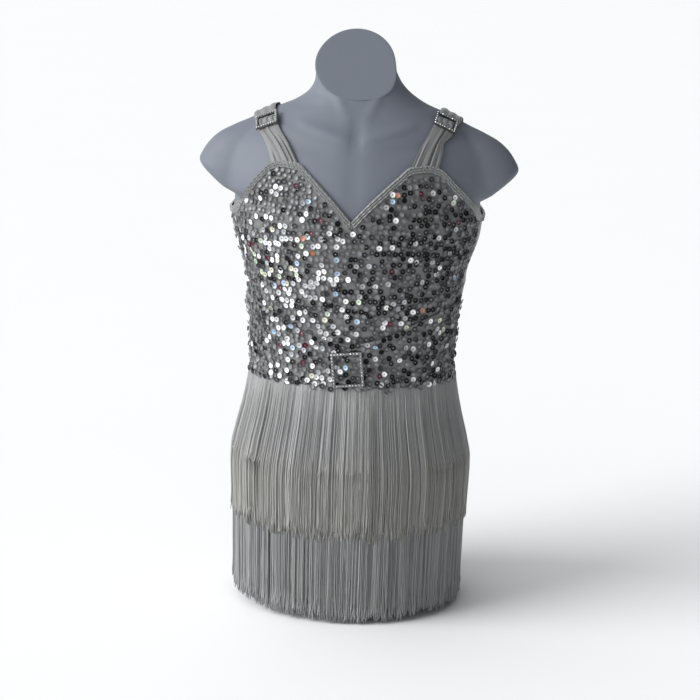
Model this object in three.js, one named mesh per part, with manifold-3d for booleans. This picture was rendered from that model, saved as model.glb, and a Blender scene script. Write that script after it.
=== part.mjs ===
// Fringe biketard on a limbless torso form: a camisole bodice, a gathered sash, bike shorts and two
// tiers of chainette fringe. Millimetres, +Z up, front towards -Y, origin on the floor in the middle.
// Left and right are the wearer's: left is +X.
import * as THREE from "three";
import { mergeVertices } from "three/addons/utils/BufferGeometryUtils.js";
import Module from "manifold-3d";

const wasm = await Module();
wasm.setup();

// ---------------------------------------------------------------- driving dimensions

const SEAM_GAP = 0.3; // between pieces that are sewn to each other
const CLEARANCE = 1.5; // between the form and the cloth
const LAYER_GAP = 0.9; // between the body cloth and what lies over it
const CLOTH = 1.5; // wall of a cut piece
const BODY_CLOTH = { inner: CLEARANCE, outer: CLEARANCE + CLOTH };
const OVERLAY = {
  inner: BODY_CLOTH.outer + LAYER_GAP,
  outer: BODY_CLOTH.outer + LAYER_GAP + CLOTH,
};

// The torso, level by level. core: middle to side, without the shoulders. arm: how far a shoulder
// stands out past that. front, back: middle to belly and to back. lens: share of the depth that is a
// flat oval reaching out into the shoulders; the rest is the rounder rib cage.
const TORSO_COLUMNS = ["z", "core", "arm", "front", "back", "lens"];
const TORSO = [
  [0, 102, 0, 58, 56, 1],
  [52, 107, 0, 63, 63, 1],
  [68, 108, 0, 64.5, 65, 1],
  [76, 108.5, 0, 65.2, 66, 1],
  [84, 109, 0, 66, 67, 1],
  [96, 110, 0, 70, 71, 1],
  [112, 111, 0, 78, 79, 1],
  [132, 112, 0, 88, 88, 1],
  [146, 112, 0, 94, 94, 1],
  [160, 110.5, 0, 92.5, 92.5, 1],
  [180, 106, 0, 87.5, 87.5, 1],
  [200, 101.5, 0, 82, 82, 1],
  [237, 98, 0, 73.5, 74, 1],
  [254, 98.5, 0, 73, 72, 1],
  [300, 101.5, 0, 76, 74, 1],
  [320, 104.3, 0, 78.5, 76.5, 1],
  [340, 107, 0, 81, 80, 1],
  [376, 118, 0, 84, 86, 1],
  [396, 121, 0, 84.5, 88, 1],
  [403, 122.5, 0, 84, 88, 0.95],
  [410, 123.5, 4, 83, 87.8, 0.7],
  [420, 124, 31, 80.5, 87, 0.52],
  [436, 122, 38, 75, 85, 0.5],
  [446, 120, 35, 70, 82, 0.5],
  [458, 116, 31.5, 63.5, 77, 0.5],
  [468, 110, 27, 57.5, 72, 0.5],
  [476, 104, 18.5, 52, 67.5, 0.52],
  [484, 98, 7, 46, 62, 0.58],
  [494, 84, 0, 40, 55, 0.75],
  [501, 67, 0, 36.5, 48, 0.9],
  [507, 56.5, 0, 34.5, 43, 1],
  [514, 48, 0, 33, 39, 1],
  [524, 41.5, 0, 33, 35, 1],
  [540, 38, 0, 33, 33, 1],
  [592, 36.5, 0, 33, 33, 1],
];
// Inside of the thighs: middle plane to leg at each height. Negative is past the middle, where the
// two thighs have grown together, until they are one round trunk.
const JOINED_Z = 160;
const INSEAM = [
  [0, 15],
  [52, 8],
  [84, 0],
  [96, -24],
  [112, -60],
  [132, -98],
  [146, -108.5],
  [JOINED_Z, -110.5],
];
const ARM_FULLNESS = 0.035; // how fast a level turns from an ellipse to a fuller oval with its shoulder
const SHOULDER_TURN = 60; // degrees round, from where a level stretches out into the shoulder
const TRUNK_ROUNDNESS = 1.1;
const LEVEL_STEP = 20; // most height between two levels of the form
const QUARTER_COLUMNS = 8; // of the form, and of each shorts panel
const NECK = { lean: -6, from: 505, to: 545, cutFront: 510, cutBack: 569.4, half: 33 };
const ARM_CUT = { x: 120.5, z: 410, lean: 52.5 * THREE.MathUtils.DEG2RAD };

const SIDE_SEAM = 77; // degrees round from the middle of the front
const SEAM_SLIT = 0.35; // degrees
const FRONT_COLUMNS = 28;
const BACK_COLUMNS = 30;
const PANEL_ROWS = { count: 11, crowding: 1.4 }; // closer together towards the top edge
const WAIST_Z = 237;
const HEM_Z = 52;

// Top edge of the bodice, binding included: degrees round from the middle, height.
const FRONT_EDGE = {
  left: [
    [0, 399.5],
    [9, 420.5],
    [20, 441],
    [26, 449.7],
    [34.5, 451.2],
    [41, 448.2],
    [50.5, 433],
    [63.5, 414.5],
    [73.6, 402.5],
    [77, 398.5],
  ],
  right: [
    [0, 399.5],
    [9, 420.5],
    [20, 441.6],
    [26, 450],
    [34.5, 451.2],
    [41, 447.4],
    [45.5, 440],
    [50.5, 430.2],
    [57, 417.4],
    [64, 407],
    [71, 400.8],
    [77, 398.5],
  ],
};
const BACK_EDGE = [
  [77, 398.5],
  [90, 397.5],
  [105, 401],
  [120, 412],
  [135, 430],
  [145, 443],
  [151, 446],
  [157, 443.5],
  [166, 422],
  [173, 404],
  [180, 397],
];
const BINDING = {
  width: 6.5,
  inner: 1.8,
  gap: 0.7, // to the panel it edges
  ridged: [3.3, 4.2, 3.5, 4.2, 3.1], // height over the form, from its lower edge to its upper one
  plain: [3.3, 4.1, 3.1],
};

// The sash: its top edge, and the folds that run into the frame at its middle.
const SASH_TOP = [
  [0, 278],
  [10, 281],
  [25, 289],
  [39, 300],
  [60, 310],
  [77, 315],
];
const SASH_FOLDS = { count: 3, height: 1.2, reach: 42 }; // reach in degrees

// A shoulder strap, from its front end to its back end: share of the way, x of its middle, width.
const STRAP = [
  [0, 67.5, 25],
  [0.1, 73, 21.5],
  [0.2, 79.5, 20],
  [0.29, 83.5, 20.5],
  [0.42, 89, 21],
  [0.55, 90, 21],
  [0.73, 84, 20],
  [0.88, 73, 20],
  [1, 62, 24],
];
const STRAP_AXIS = { y: 5, z: 440 }; // the strap is laid out round this line
const STRAP_LIFT = 2.1; // over the form
const STRAP_FOLDS = { count: 3, height: 0.6 };
const STRAP_FRAME = { width: 23, height: 16, bar: 2.5, thick: 2 };
// The straps aren't a pair: how far each swings out before its frame, where its frame sits and turns (degrees).
const STRAP_SIDES = {
  left: { side: 1, lean: 0, share: 0.292, turn: 8 },
  right: { side: -1, lean: 5, share: 0.272, turn: 12 },
};
const LEAN_REACH = 0.54; // share of the strap over which it swings out and back
const WAIST_FRAME = { width: 30.5, height: 34, bar: 2.6, thick: 2.2, z: 254.5, turn: 6 };

// Fringe: the tape it hangs from, and how far out from the body its strands hang at each height.
const HIP_Z = 146; // below this the fringe hangs straight down
const STRANDS = 72; // in each tier
const STRAND = { thick: 2.2, fill: 0.72, sway: 0.7, uneven: 5 };
const UPPER_FRINGE = {
  tapeTop: 236.7,
  tapeBottom: 230.5,
  hang: [
    [234, 4.65],
    [222, 5.5],
    [200, 6.6],
    [172, 7.6],
    [HIP_Z, 8.4],
    [87, 7.6],
  ],
};
const LOWER_FRINGE = {
  tapeTop: 161,
  tapeBottom: 154.5,
  hang: [
    [157.5, 4.65],
    [HIP_Z, 4.9],
    [70, 4],
    [2, 3],
  ],
};

// ---------------------------------------------------------------- curves through tables

// A monotone cubic through rows of (x, y): it never overshoots a row.
function smoothThrough(rows) {
  const xs = rows.map((row) => row[0]);
  const ys = rows.map((row) => row[1]);
  const last = xs.length - 1;
  const step = xs.slice(1).map((x, i) => x - xs[i]);
  const rise = step.map((width, i) => (ys[i + 1] - ys[i]) / width);
  const slope = xs.map((_, i) => {
    if (i === 0) return rise[0];
    if (i === last) return rise[last - 1];
    if (rise[i - 1] * rise[i] <= 0) return 0;
    const before = 2 * step[i] + step[i - 1];
    const after = step[i] + 2 * step[i - 1];
    return (before + after) / (before / rise[i - 1] + after / rise[i]);
  });
  return (x) => {
    const i = THREE.MathUtils.clamp(xs.findIndex((known) => known > x) - 1, 0, last - 1);
    const at = x >= xs[last] ? last - 1 : i;
    const t = (x - xs[at]) / step[at];
    const eased = t * t * (3 - 2 * t);
    const leaving = t * (1 - t) ** 2 * step[at] * slope[at];
    const arriving = t * t * (t - 1) * step[at] * slope[at + 1];
    return ys[at] + (ys[at + 1] - ys[at]) * eased + leaving + arriving;
  };
}

const torsoCurves = TORSO_COLUMNS.slice(1).map((name, i) => [
  name,
  smoothThrough(TORSO.map((row) => [row[0], row[i + 1]])),
]);
const frontEdge = { left: smoothThrough(FRONT_EDGE.left), right: smoothThrough(FRONT_EDGE.right) };
const backEdge = smoothThrough(BACK_EDGE);
const inseam = smoothThrough(INSEAM);
const sashTop = smoothThrough(SASH_TOP);
const strapMiddle = smoothThrough(STRAP.map(([share, x]) => [share, x]));
const strapWidth = smoothThrough(STRAP.map(([share, , width]) => [share, width]));

// ---------------------------------------------------------------- the torso's surface

function levelAt(z) {
  const level = Object.fromEntries(torsoCurves.map(([name, curve]) => [name, curve(z)]));
  const inner = z < JOINED_Z ? inseam(z) : -level.core;
  level.middle = (level.core + inner) / 2; // of one thigh, or 0 above them
  level.radius = (level.core - inner) / 2;
  return level;
}

// How far the body, grown by `out`, reaches forwards or backwards at x on a level.
function reach(level, x, isFront, out) {
  const depth = isFront ? level.front : level.back;
  const across = Math.abs(x);
  const fullness = 2 + ARM_FULLNESS * level.arm;
  const width = level.radius + level.arm + out;
  const oval = Math.max(0, 1 - Math.abs((across - level.middle) / width) ** fullness);
  const ribs = Math.max(0, 1 - (across / (level.core + out)) ** 2) ** TRUNK_ROUNDNESS;
  return (level.lens * depth + out) * Math.sqrt(oval) + (1 - level.lens) * depth * ribs;
}

// A point of one half of the body, x positive: share 0 is the front middle or inseam, 1 the back one.
function halfPoint(z, share, out) {
  const level = levelAt(z);
  const radius = level.radius + out;
  const past = Math.asin(Math.min(1, level.middle / level.radius));
  const turn = Math.sin(-past + share * (Math.PI + 2 * past));
  const sideways = Math.sin(SHOULDER_TURN * THREE.MathUtils.DEG2RAD);
  const stretch = level.arm * Math.max(0, (turn - sideways) / (1 - sideways));
  const x = Math.max(0, level.middle + radius * turn + stretch);
  const isFront = share < 0.5;
  const atInseam = (share === 0 || share === 1) && level.middle >= radius;
  const y = atInseam ? 0 : reach(level, x, isFront, out);
  return new THREE.Vector3(x, isFront ? -y : y, z);
}

// A point of the trunk, by degrees round from the middle of the front, positive towards +X.
function trunkPoint(degrees, z, out) {
  const angle = degrees * THREE.MathUtils.DEG2RAD;
  const level = levelAt(z);
  const x = (level.core + out) * Math.sin(angle);
  const isFront = Math.cos(angle) > 0;
  const y = reach(level, x, isFront, out);
  return new THREE.Vector3(x, isFront ? -y : y, z);
}

// ---------------------------------------------------------------- closed shapes from points

// A closed wall between an inner and an outer sheet of points, at(column, row, layer).
function wall(columns, rows, at, isRing = false) {
  const points = [];
  const faces = [];
  const lines = isRing ? columns : columns + 1;
  for (let i = 0; i < lines; i++) {
    for (let j = 0; j <= rows; j++) points.push(at(i, j, 0), at(i, j, 1));
  }
  const id = (i, j, layer) => ((i % lines) * (rows + 1) + j) * 2 + layer;
  const quad = (a, b, c, d) => faces.push(a, b, c, a, c, d);
  for (let i = 0; i < columns; i++) {
    for (let j = 0; j < rows; j++) {
      quad(id(i, j, 1), id(i + 1, j, 1), id(i + 1, j + 1, 1), id(i, j + 1, 1));
      quad(id(i, j, 0), id(i, j + 1, 0), id(i + 1, j + 1, 0), id(i + 1, j, 0));
    }
    quad(id(i, 0, 0), id(i + 1, 0, 0), id(i + 1, 0, 1), id(i, 0, 1));
    quad(id(i, rows, 1), id(i + 1, rows, 1), id(i + 1, rows, 0), id(i, rows, 0));
  }
  for (let j = 0; j < rows && !isRing; j++) {
    quad(id(0, j, 1), id(0, j + 1, 1), id(0, j + 1, 0), id(0, j, 0));
    quad(id(columns, j, 0), id(columns, j + 1, 0), id(columns, j + 1, 1), id(columns, j, 1));
  }
  return closedGeometry(points, faces);
}

// Geometry from points and faces, turned so that its faces point out.
function closedGeometry(points, faces) {
  const corner = (i) => points[faces[i]];
  let volume = 0;
  for (let i = 0; i < faces.length; i += 3) {
    volume += corner(i).dot(new THREE.Vector3().crossVectors(corner(i + 1), corner(i + 2)));
  }
  const turned = volume < 0 ? faces.slice().reverse() : faces;
  const geometry = new THREE.BufferGeometry().setFromPoints(points).setIndex(turned);
  return mergeVertices(geometry, 1e-3);
}

function solidOf(geometry) {
  const bare = new THREE.BufferGeometry().setAttribute("position", geometry.getAttribute("position"));
  bare.setIndex(geometry.index);
  const merged = mergeVertices(bare, 1e-3);
  return new wasm.Manifold(
    new wasm.Mesh({
      numProp: 3,
      vertProperties: new Float32Array(merged.getAttribute("position").array),
      triVerts: new Uint32Array(merged.index.array),
    }),
  );
}

function geometryOf(solid) {
  const mesh = solid.getMesh();
  const geometry = new THREE.BufferGeometry();
  geometry.setAttribute("position", new THREE.BufferAttribute(mesh.vertProperties, 3));
  geometry.setIndex(new THREE.BufferAttribute(mesh.triVerts, 1));
  return geometry;
}

// ---------------------------------------------------------------- the form

function formLevels() {
  return TORSO.slice(1).reduce(
    (levels, [z]) => {
      const from = levels.at(-1);
      const steps = Math.ceil((z - from) / LEVEL_STEP);
      for (let i = 1; i <= steps; i++) levels.push(from + ((z - from) * i) / steps);
      return levels;
    },
    [TORSO[0][0]],
  );
}

// The neck leans a little to one side.
function leanNeck(point) {
  point.x += NECK.lean * THREE.MathUtils.smoothstep(point.z, NECK.from, NECK.to);
  return point;
}

function torsoBlank() {
  const levels = formLevels();
  const columns = 2 * QUARTER_COLUMNS;
  const line = columns + 1;
  const points = [];
  const faces = [];
  for (const side of [1, -1]) {
    const first = points.length;
    const place = (point) => leanNeck(new THREE.Vector3(point.x * side, point.y, point.z));
    const face = (a, b, c) => faces.push(...(side > 0 ? [a, b, c] : [a, c, b]));
    levels.forEach((z) => {
      for (let i = 0; i < line; i++) points.push(place(halfPoint(z, i / columns, 0)));
    });
    for (let j = 0; j < levels.length - 1; j++) {
      for (let i = 0; i < columns; i++) {
        const low = first + j * line + i;
        face(low, low + 1, low + line + 1);
        face(low, low + line + 1, low + line);
      }
    }
    const bottom = levelAt(levels[0]);
    const top = first + (levels.length - 1) * line;
    const footCentre = points.push(place(new THREE.Vector3(bottom.middle, 0, 0))) - 1;
    const neckCentre = points.push(place(new THREE.Vector3(0, 0, levels.at(-1)))) - 1;
    for (let i = 0; i < columns; i++) {
      face(footCentre, first + i + 1, first + i);
      face(neckCentre, top + i, top + i + 1);
    }
  }
  return closedGeometry(points, faces);
}

// What is sawn off: each arm below a slanting face, and the neck above one.
function sawnOff() {
  const size = 240;
  const arms = [1, -1].map((side) => {
    const block = new THREE.BoxGeometry(size, size, size).translate(size / 2, 0, size / 2);
    if (side < 0) block.rotateZ(Math.PI);
    return block.rotateY(side * ARM_CUT.lean).translate(side * ARM_CUT.x, 0, ARM_CUT.z);
  });
  const tilt = Math.atan2(NECK.cutBack - NECK.cutFront, 2 * NECK.half);
  const neck = new THREE.BoxGeometry(120, size, 120).translate(0, 0, 60).rotateX(tilt);
  neck.translate(0, 0, (NECK.cutFront + NECK.cutBack) / 2);
  return [...arms, neck];
}

function torsoForm() {
  return geometryOf(sawnOff().reduce((body, block) => body.subtract(solidOf(block)), solidOf(torsoBlank())));
}

// ---------------------------------------------------------------- bodice, bindings and sash

// Both edges as functions of the whole turn.
const EDGES = {
  front: (degrees) => frontEdge[degrees < 0 ? "right" : "left"](Math.abs(degrees)),
  back: (degrees) => backEdge(degrees > 180 ? 360 - degrees : degrees),
};

// Height that a strip of this width takes off an edge, as its width is square to the edge.
function dropOf(edge, degrees, width) {
  const slopes = [-1, 1].map((step) => {
    const here = trunkPoint(degrees, edge(degrees), 0);
    const next = trunkPoint(degrees + step, edge(degrees + step), 0);
    return (next.z - here.z) / Math.hypot(next.x - here.x, next.y - here.y);
  });
  return width * Math.hypot(1, Math.min(...slopes.map(Math.abs)));
}

function bodicePanel(edge, from, to, columns) {
  const bottom = WAIST_Z + SEAM_GAP;
  return wall(columns, PANEL_ROWS.count, (i, j, layer) => {
    const degrees = from + ((to - from) * i) / columns;
    const top = edge(degrees) - dropOf(edge, degrees, BINDING.width + BINDING.gap);
    const z = top - (top - bottom) * (1 - j / PANEL_ROWS.count) ** PANEL_ROWS.crowding;
    return trunkPoint(degrees, z, layer ? BODY_CLOTH.outer : BODY_CLOTH.inner);
  });
}

function binding(edge, from, to, columns, profile) {
  const rows = profile.length - 1;
  return wall(columns, rows, (i, j, layer) => {
    const degrees = from + ((to - from) * i) / columns;
    const z = edge(degrees) - dropOf(edge, degrees, BINDING.width) * (1 - j / rows);
    return trunkPoint(degrees, z, layer ? profile[j] : BINDING.inner);
  });
}

function sash() {
  const rows = SASH_FOLDS.count * 2;
  const bottom = WAIST_Z + SEAM_GAP;
  return wall(FRONT_COLUMNS, rows, (i, j, layer) => {
    const degrees = -SIDE_SEAM + (2 * SIDE_SEAM * i) / FRONT_COLUMNS;
    const z = bottom + ((sashTop(Math.abs(degrees)) - bottom) * j) / rows;
    const nearness = Math.max(0, 1 - Math.abs(degrees) / SASH_FOLDS.reach);
    const fold = j % 2 ? SASH_FOLDS.height * Math.sqrt(nearness) : 0;
    return trunkPoint(degrees, z, layer ? OVERLAY.outer + fold : OVERLAY.inner);
  });
}

// ---------------------------------------------------------------- straps and frames

function isInside(point) {
  const level = levelAt(point.z);
  return Math.abs(point.x) < level.core + level.arm && Math.abs(point.y) < reach(level, point.x, point.y < 0, 0);
}

// Turn of a point about the strap's axis: 0 is straight back, 180 degrees straight forward.
function turnOf(point) {
  return Math.atan2(point.z - STRAP_AXIS.z, point.y - STRAP_AXIS.y);
}

// Where the strap leaves an edge of the bodice: the point of that edge at x.
function strapEnd(edge, x, isFront) {
  let degrees = isFront ? 35 : 145;
  for (let i = 0; i < 12; i++) {
    const core = levelAt(edge(degrees)).core;
    const turn = Math.asin(Math.min(1, x / core)) * THREE.MathUtils.RAD2DEG;
    degrees = isFront ? turn : 180 - turn;
  }
  return trunkPoint(degrees, edge(degrees) + 3 * SEAM_GAP, 0);
}

// A point of the strap: share of its length, across from -1 to 1, height over the form, how far it swings out.
function strapPoint(share, across, out, lean) {
  const offset = (across * strapWidth(share)) / 2;
  const swing = lean * Math.sin(Math.PI * THREE.MathUtils.clamp(share / LEAN_REACH, 0, 1));
  const x = strapMiddle(share) + swing + offset;
  const startX = strapMiddle(0) + (across * strapWidth(0)) / 2;
  const endX = strapMiddle(1) + (across * strapWidth(1)) / 2;
  const from = turnOf(strapEnd(EDGES.front, startX, true));
  const to = turnOf(strapEnd(EDGES.back, endX, false));
  const turn = from + (to - from) * share;
  const along = new THREE.Vector3(0, Math.cos(turn), Math.sin(turn));
  const axis = new THREE.Vector3(x, STRAP_AXIS.y, STRAP_AXIS.z);
  const at = (radius) => axis.clone().addScaledVector(along, radius);
  let inside = 0;
  let outside = 120;
  for (let i = 0; i < 24; i++) {
    const middle = (inside + outside) / 2;
    if (isInside(at(middle))) inside = middle;
    else outside = middle;
  }
  return at(outside + out);
}

function strap({ side, lean }) {
  const columns = STRAP_FOLDS.count * 2;
  const rows = 12;
  return wall(columns, rows, (i, j, layer) => {
    const fold = i % 2 ? STRAP_FOLDS.height : 0;
    const out = layer ? STRAP_LIFT + CLOTH + fold : STRAP_LIFT;
    const point = strapPoint(j / rows, (2 * i) / columns - 1, out, lean);
    return point.setX(point.x * side);
  });
}

// A flat rectangular frame, lying in the XY plane with its middle at the origin.
function openFrame({ width, height, bar, thick }) {
  const rectangle = (w, h) => [
    new THREE.Vector2(-w / 2, -h / 2),
    new THREE.Vector2(w / 2, -h / 2),
    new THREE.Vector2(w / 2, h / 2),
    new THREE.Vector2(-w / 2, h / 2),
  ];
  const outline = new THREE.Shape(rectangle(width, height));
  outline.holes.push(new THREE.Path(rectangle(width - 2 * bar, height - 2 * bar)));
  return new THREE.ExtrudeGeometry(outline, { depth: thick, bevelEnabled: false });
}

function strapFrame({ side, lean, share, turn }) {
  const small = 0.01;
  const seat = strapPoint(share, 0, STRAP_LIFT + CLOTH + STRAP_FOLDS.height + SEAM_GAP, lean);
  const along = strapPoint(share + small, 0, 0, lean).sub(strapPoint(share - small, 0, 0, lean)).normalize();
  const across = strapPoint(share, 1, 0, lean).sub(strapPoint(share, -1, 0, lean)).normalize();
  const up = new THREE.Vector3().crossVectors(across, along).normalize();
  along.applyAxisAngle(up, turn * THREE.MathUtils.DEG2RAD);
  across.crossVectors(along, up);
  const stand = new THREE.Matrix4().makeBasis(across, along, up).setPosition(seat);
  const geometry = openFrame(STRAP_FRAME).applyMatrix4(stand);
  return side > 0 ? geometry : mirrored(geometry);
}

// The same shape on the other side of the middle plane, its faces still pointing out.
function mirrored(geometry) {
  const flat = geometry.index ? geometry.toNonIndexed() : geometry.clone();
  const position = flat.getAttribute("position");
  const points = [];
  for (let i = 0; i < position.count; i++) {
    points.push(new THREE.Vector3(-position.getX(i), position.getY(i), position.getZ(i)));
  }
  return closedGeometry(points, points.map((_, i) => i));
}

function waistFrame() {
  const fullest = levelAt(WAIST_FRAME.z + WAIST_FRAME.height / 2).front;
  const seat = -fullest - OVERLAY.outer - SASH_FOLDS.height - SEAM_GAP;
  return openFrame(WAIST_FRAME)
    .rotateZ(WAIST_FRAME.turn * THREE.MathUtils.DEG2RAD)
    .rotateX(Math.PI / 2)
    .translate(0, seat, WAIST_FRAME.z);
}

// ---------------------------------------------------------------- shorts

const SHORTS_LEVELS = formLevels().filter((z) => z >= HEM_Z && z <= WAIST_Z);

// A quarter of the shorts, between the side seam and the middle seam or inseam.
function shortsPanel(side, isFront) {
  const seam = SEAM_GAP / 2;
  return wall(QUARTER_COLUMNS, SHORTS_LEVELS.length - 1, (i, j, layer) => {
    const share = (isFront ? 0 : 0.5) + (0.5 * i) / QUARTER_COLUMNS;
    const out = layer ? BODY_CLOTH.outer : BODY_CLOTH.inner;
    const point = halfPoint(SHORTS_LEVELS[j], share, out);
    const y = Math.max(seam, Math.abs(point.y));
    return new THREE.Vector3(side * Math.max(seam, point.x), isFront ? -y : y, point.z);
  });
}

// ---------------------------------------------------------------- fringe

// Degrees of evenly spaced places round the hips.
function evenTurns(count) {
  const fine = 720;
  const length = [0];
  for (let i = 1; i <= fine; i++) {
    const before = trunkPoint(((i - 1) * 360) / fine, HIP_Z, 0);
    length.push(length[i - 1] + before.distanceTo(trunkPoint((i * 360) / fine, HIP_Z, 0)));
  }
  return Array.from({ length: count }, (_, k) => {
    const wanted = (length[fine] * (k + 0.5)) / count;
    return (length.findIndex((so_far) => so_far >= wanted) * 360) / fine;
  });
}

const hangPoint = (degrees, z, out) => trunkPoint(degrees, Math.max(z, HIP_Z), out).setZ(z);
const scatter = (k, seed) => Math.sin(k * 12.9898 + seed * 78.233) * Math.cos(k * 4.1 + seed);

// One lock of fringe, three-sided, its root inside the tape.
function lock(degrees, k, { hang }) {
  const pitch = 360 / STRANDS;
  const points = [];
  const faces = [];
  const end = hang.length - 1;
  hang.forEach(([z, out], j) => {
    const share = j / end;
    const drop = j === end ? (STRAND.uneven * (1 + scatter(k, 3))) / 2 : 0;
    const sway = (STRAND.sway * scatter(k, 1) * share) / 2;
    const half = (pitch * STRAND.fill * (0.5 + 0.08 * scatter(k, 2))) * (j ? 1 : 0.8);
    const thick = j ? STRAND.thick / 2 : 0.5;
    points.push(
      hangPoint(degrees + sway - half, z + drop, out - thick),
      hangPoint(degrees + sway + half, z + drop, out - thick),
      hangPoint(degrees + sway, z + drop, out + thick),
    );
  });
  for (let j = 0; j < end; j++) {
    for (let i = 0; i < 3; i++) {
      const a = j * 3 + i;
      const b = j * 3 + ((i + 1) % 3);
      faces.push(a, b, b + 3, a, b + 3, a + 3);
    }
  }
  faces.push(2, 1, 0, end * 3, end * 3 + 1, end * 3 + 2);
  return solidOf(closedGeometry(points, faces));
}

function fringe(tier) {
  const columns = 48;
  const tape = wall(
    columns,
    1,
    (i, j, layer) => {
      const z = j ? tier.tapeTop : tier.tapeBottom;
      return trunkPoint((i * 360) / columns, z, layer ? OVERLAY.outer : OVERLAY.inner);
    },
    true,
  );
  const locks = evenTurns(STRANDS).map((degrees, k) => lock(degrees, k, tier));
  return geometryOf(wasm.Manifold.union([solidOf(tape), ...locks]));
}

// ---------------------------------------------------------------- materials and assembly

const MATERIALS = {
  form: { color: 0x7f8a99, roughness: 0.42, metalness: 0 },
  sequins: { color: 0x8b8b8d, roughness: 0.35, metalness: 0.6 },
  spandex: { color: 0x7f7f80, roughness: 0.5, metalness: 0 },
  fringe: { color: 0x858585, roughness: 0.55, metalness: 0 },
  stones: { color: 0xd8dade, roughness: 0.12, metalness: 0.85 },
};

const group = new THREE.Group();

function add(name, geometry, look) {
  const mesh = new THREE.Mesh(geometry, new THREE.MeshStandardMaterial(MATERIALS[look]));
  mesh.name = name;
  group.add(mesh);
}

add("torso_form", torsoForm(), "form");
add("bodice_front", bodicePanel(EDGES.front, -SIDE_SEAM, SIDE_SEAM, FRONT_COLUMNS), "sequins");
add("binding_front", binding(EDGES.front, -SIDE_SEAM, SIDE_SEAM, FRONT_COLUMNS, BINDING.ridged), "spandex");
const backFrom = SIDE_SEAM + SEAM_SLIT;
add("bodice_back", bodicePanel(EDGES.back, backFrom, 360 - backFrom, BACK_COLUMNS), "spandex");
add("binding_back", binding(EDGES.back, backFrom, 360 - backFrom, BACK_COLUMNS, BINDING.plain), "spandex");
add("sash", sash(), "sequins");
add("waist_frame", waistFrame(), "stones");
for (const [word, sewn] of Object.entries(STRAP_SIDES)) {
  add("strap_" + word, strap(sewn), "spandex");
  add("strap_frame_" + word, strapFrame(sewn), "stones");
  add("shorts_front_" + word, shortsPanel(sewn.side, true), "spandex");
  add("shorts_back_" + word, shortsPanel(sewn.side, false), "spandex");
}
add("fringe_upper", fringe(UPPER_FRINGE), "fringe");
add("fringe_lower", fringe(LOWER_FRINGE), "fringe");

export default group;
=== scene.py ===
"""Looks of the fringe biketard on its torso form. Sizes here are in millimetres until a mesh is made."""

import math

import bmesh
import bpy
import numpy as np
from mathutils import Matrix, Vector

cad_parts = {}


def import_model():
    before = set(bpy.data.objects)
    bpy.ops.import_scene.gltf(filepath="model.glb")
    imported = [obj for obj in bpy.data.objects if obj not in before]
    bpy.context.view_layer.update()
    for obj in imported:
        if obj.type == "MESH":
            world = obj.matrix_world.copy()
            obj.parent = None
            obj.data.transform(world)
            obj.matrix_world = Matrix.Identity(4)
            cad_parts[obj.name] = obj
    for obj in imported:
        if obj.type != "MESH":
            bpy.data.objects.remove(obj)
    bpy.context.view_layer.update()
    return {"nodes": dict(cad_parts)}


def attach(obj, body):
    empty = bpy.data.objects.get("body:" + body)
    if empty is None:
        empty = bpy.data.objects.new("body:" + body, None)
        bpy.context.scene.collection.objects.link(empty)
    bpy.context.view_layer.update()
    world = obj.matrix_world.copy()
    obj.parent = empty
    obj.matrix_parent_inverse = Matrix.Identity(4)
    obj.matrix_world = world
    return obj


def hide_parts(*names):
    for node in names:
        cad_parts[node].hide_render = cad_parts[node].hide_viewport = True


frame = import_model()

MM = 0.001
CHANCE = np.random.default_rng(11)

# ---- sizes shared with the solids

TORSO_COLUMNS = ("z", "core", "arm", "front", "back", "lens")
TORSO = [
    (0, 102, 0, 58, 56, 1),
    (52, 107, 0, 63, 63, 1),
    (68, 108, 0, 64.5, 65, 1),
    (76, 108.5, 0, 65.2, 66, 1),
    (84, 109, 0, 66, 67, 1),
    (96, 110, 0, 70, 71, 1),
    (112, 111, 0, 78, 79, 1),
    (132, 112, 0, 88, 88, 1),
    (146, 112, 0, 94, 94, 1),
    (160, 110.5, 0, 92.5, 92.5, 1),
    (180, 106, 0, 87.5, 87.5, 1),
    (200, 101.5, 0, 82, 82, 1),
    (237, 98, 0, 73.5, 74, 1),
    (254, 98.5, 0, 73, 72, 1),
    (300, 101.5, 0, 76, 74, 1),
    (320, 104.3, 0, 78.5, 76.5, 1),
    (340, 107, 0, 81, 80, 1),
    (376, 118, 0, 84, 86, 1),
    (396, 121, 0, 84.5, 88, 1),
    (403, 122.5, 0, 84, 88, 0.95),
    (410, 123.5, 4, 83, 87.8, 0.7),
    (420, 124, 31, 80.5, 87, 0.52),
    (436, 122, 38, 75, 85, 0.5),
    (446, 120, 35, 70, 82, 0.5),
    (458, 116, 31.5, 63.5, 77, 0.5),
    (468, 110, 27, 57.5, 72, 0.5),
    (476, 104, 18.5, 52, 67.5, 0.52),
    (484, 98, 7, 46, 62, 0.58),
    (494, 84, 0, 40, 55, 0.75),
    (501, 67, 0, 36.5, 48, 0.9),
    (507, 56.5, 0, 34.5, 43, 1),
    (514, 48, 0, 33, 39, 1),
    (524, 41.5, 0, 33, 35, 1),
    (540, 38, 0, 33, 33, 1),
    (592, 36.5, 0, 33, 33, 1),
]
JOINED_Z = 160
INSEAM = [(0, 15), (52, 8), (84, 0), (96, -24), (112, -60), (132, -98), (146, -108.5), (JOINED_Z, -110.5)]
ARM_FULLNESS = 0.035  # how fast a level turns from an ellipse to a fuller oval with its shoulder
SHOULDER_TURN = 60  # degrees round, from where a level stretches out into the shoulder
TRUNK_ROUNDNESS = 1.1
NECK = dict(lean=-6, start=505, end=545, cut_front=510, cut_back=569.4, half=33)
ARM_CUT = dict(x=120.5, z=410, lean=math.radians(52.5))

SIDE_SEAM = 77  # degrees round from the middle of the front
SEAM_SLIT = 0.35  # degrees
WAIST_Z = 237
HEM_Z = 52
HIP_Z = 146
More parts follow.
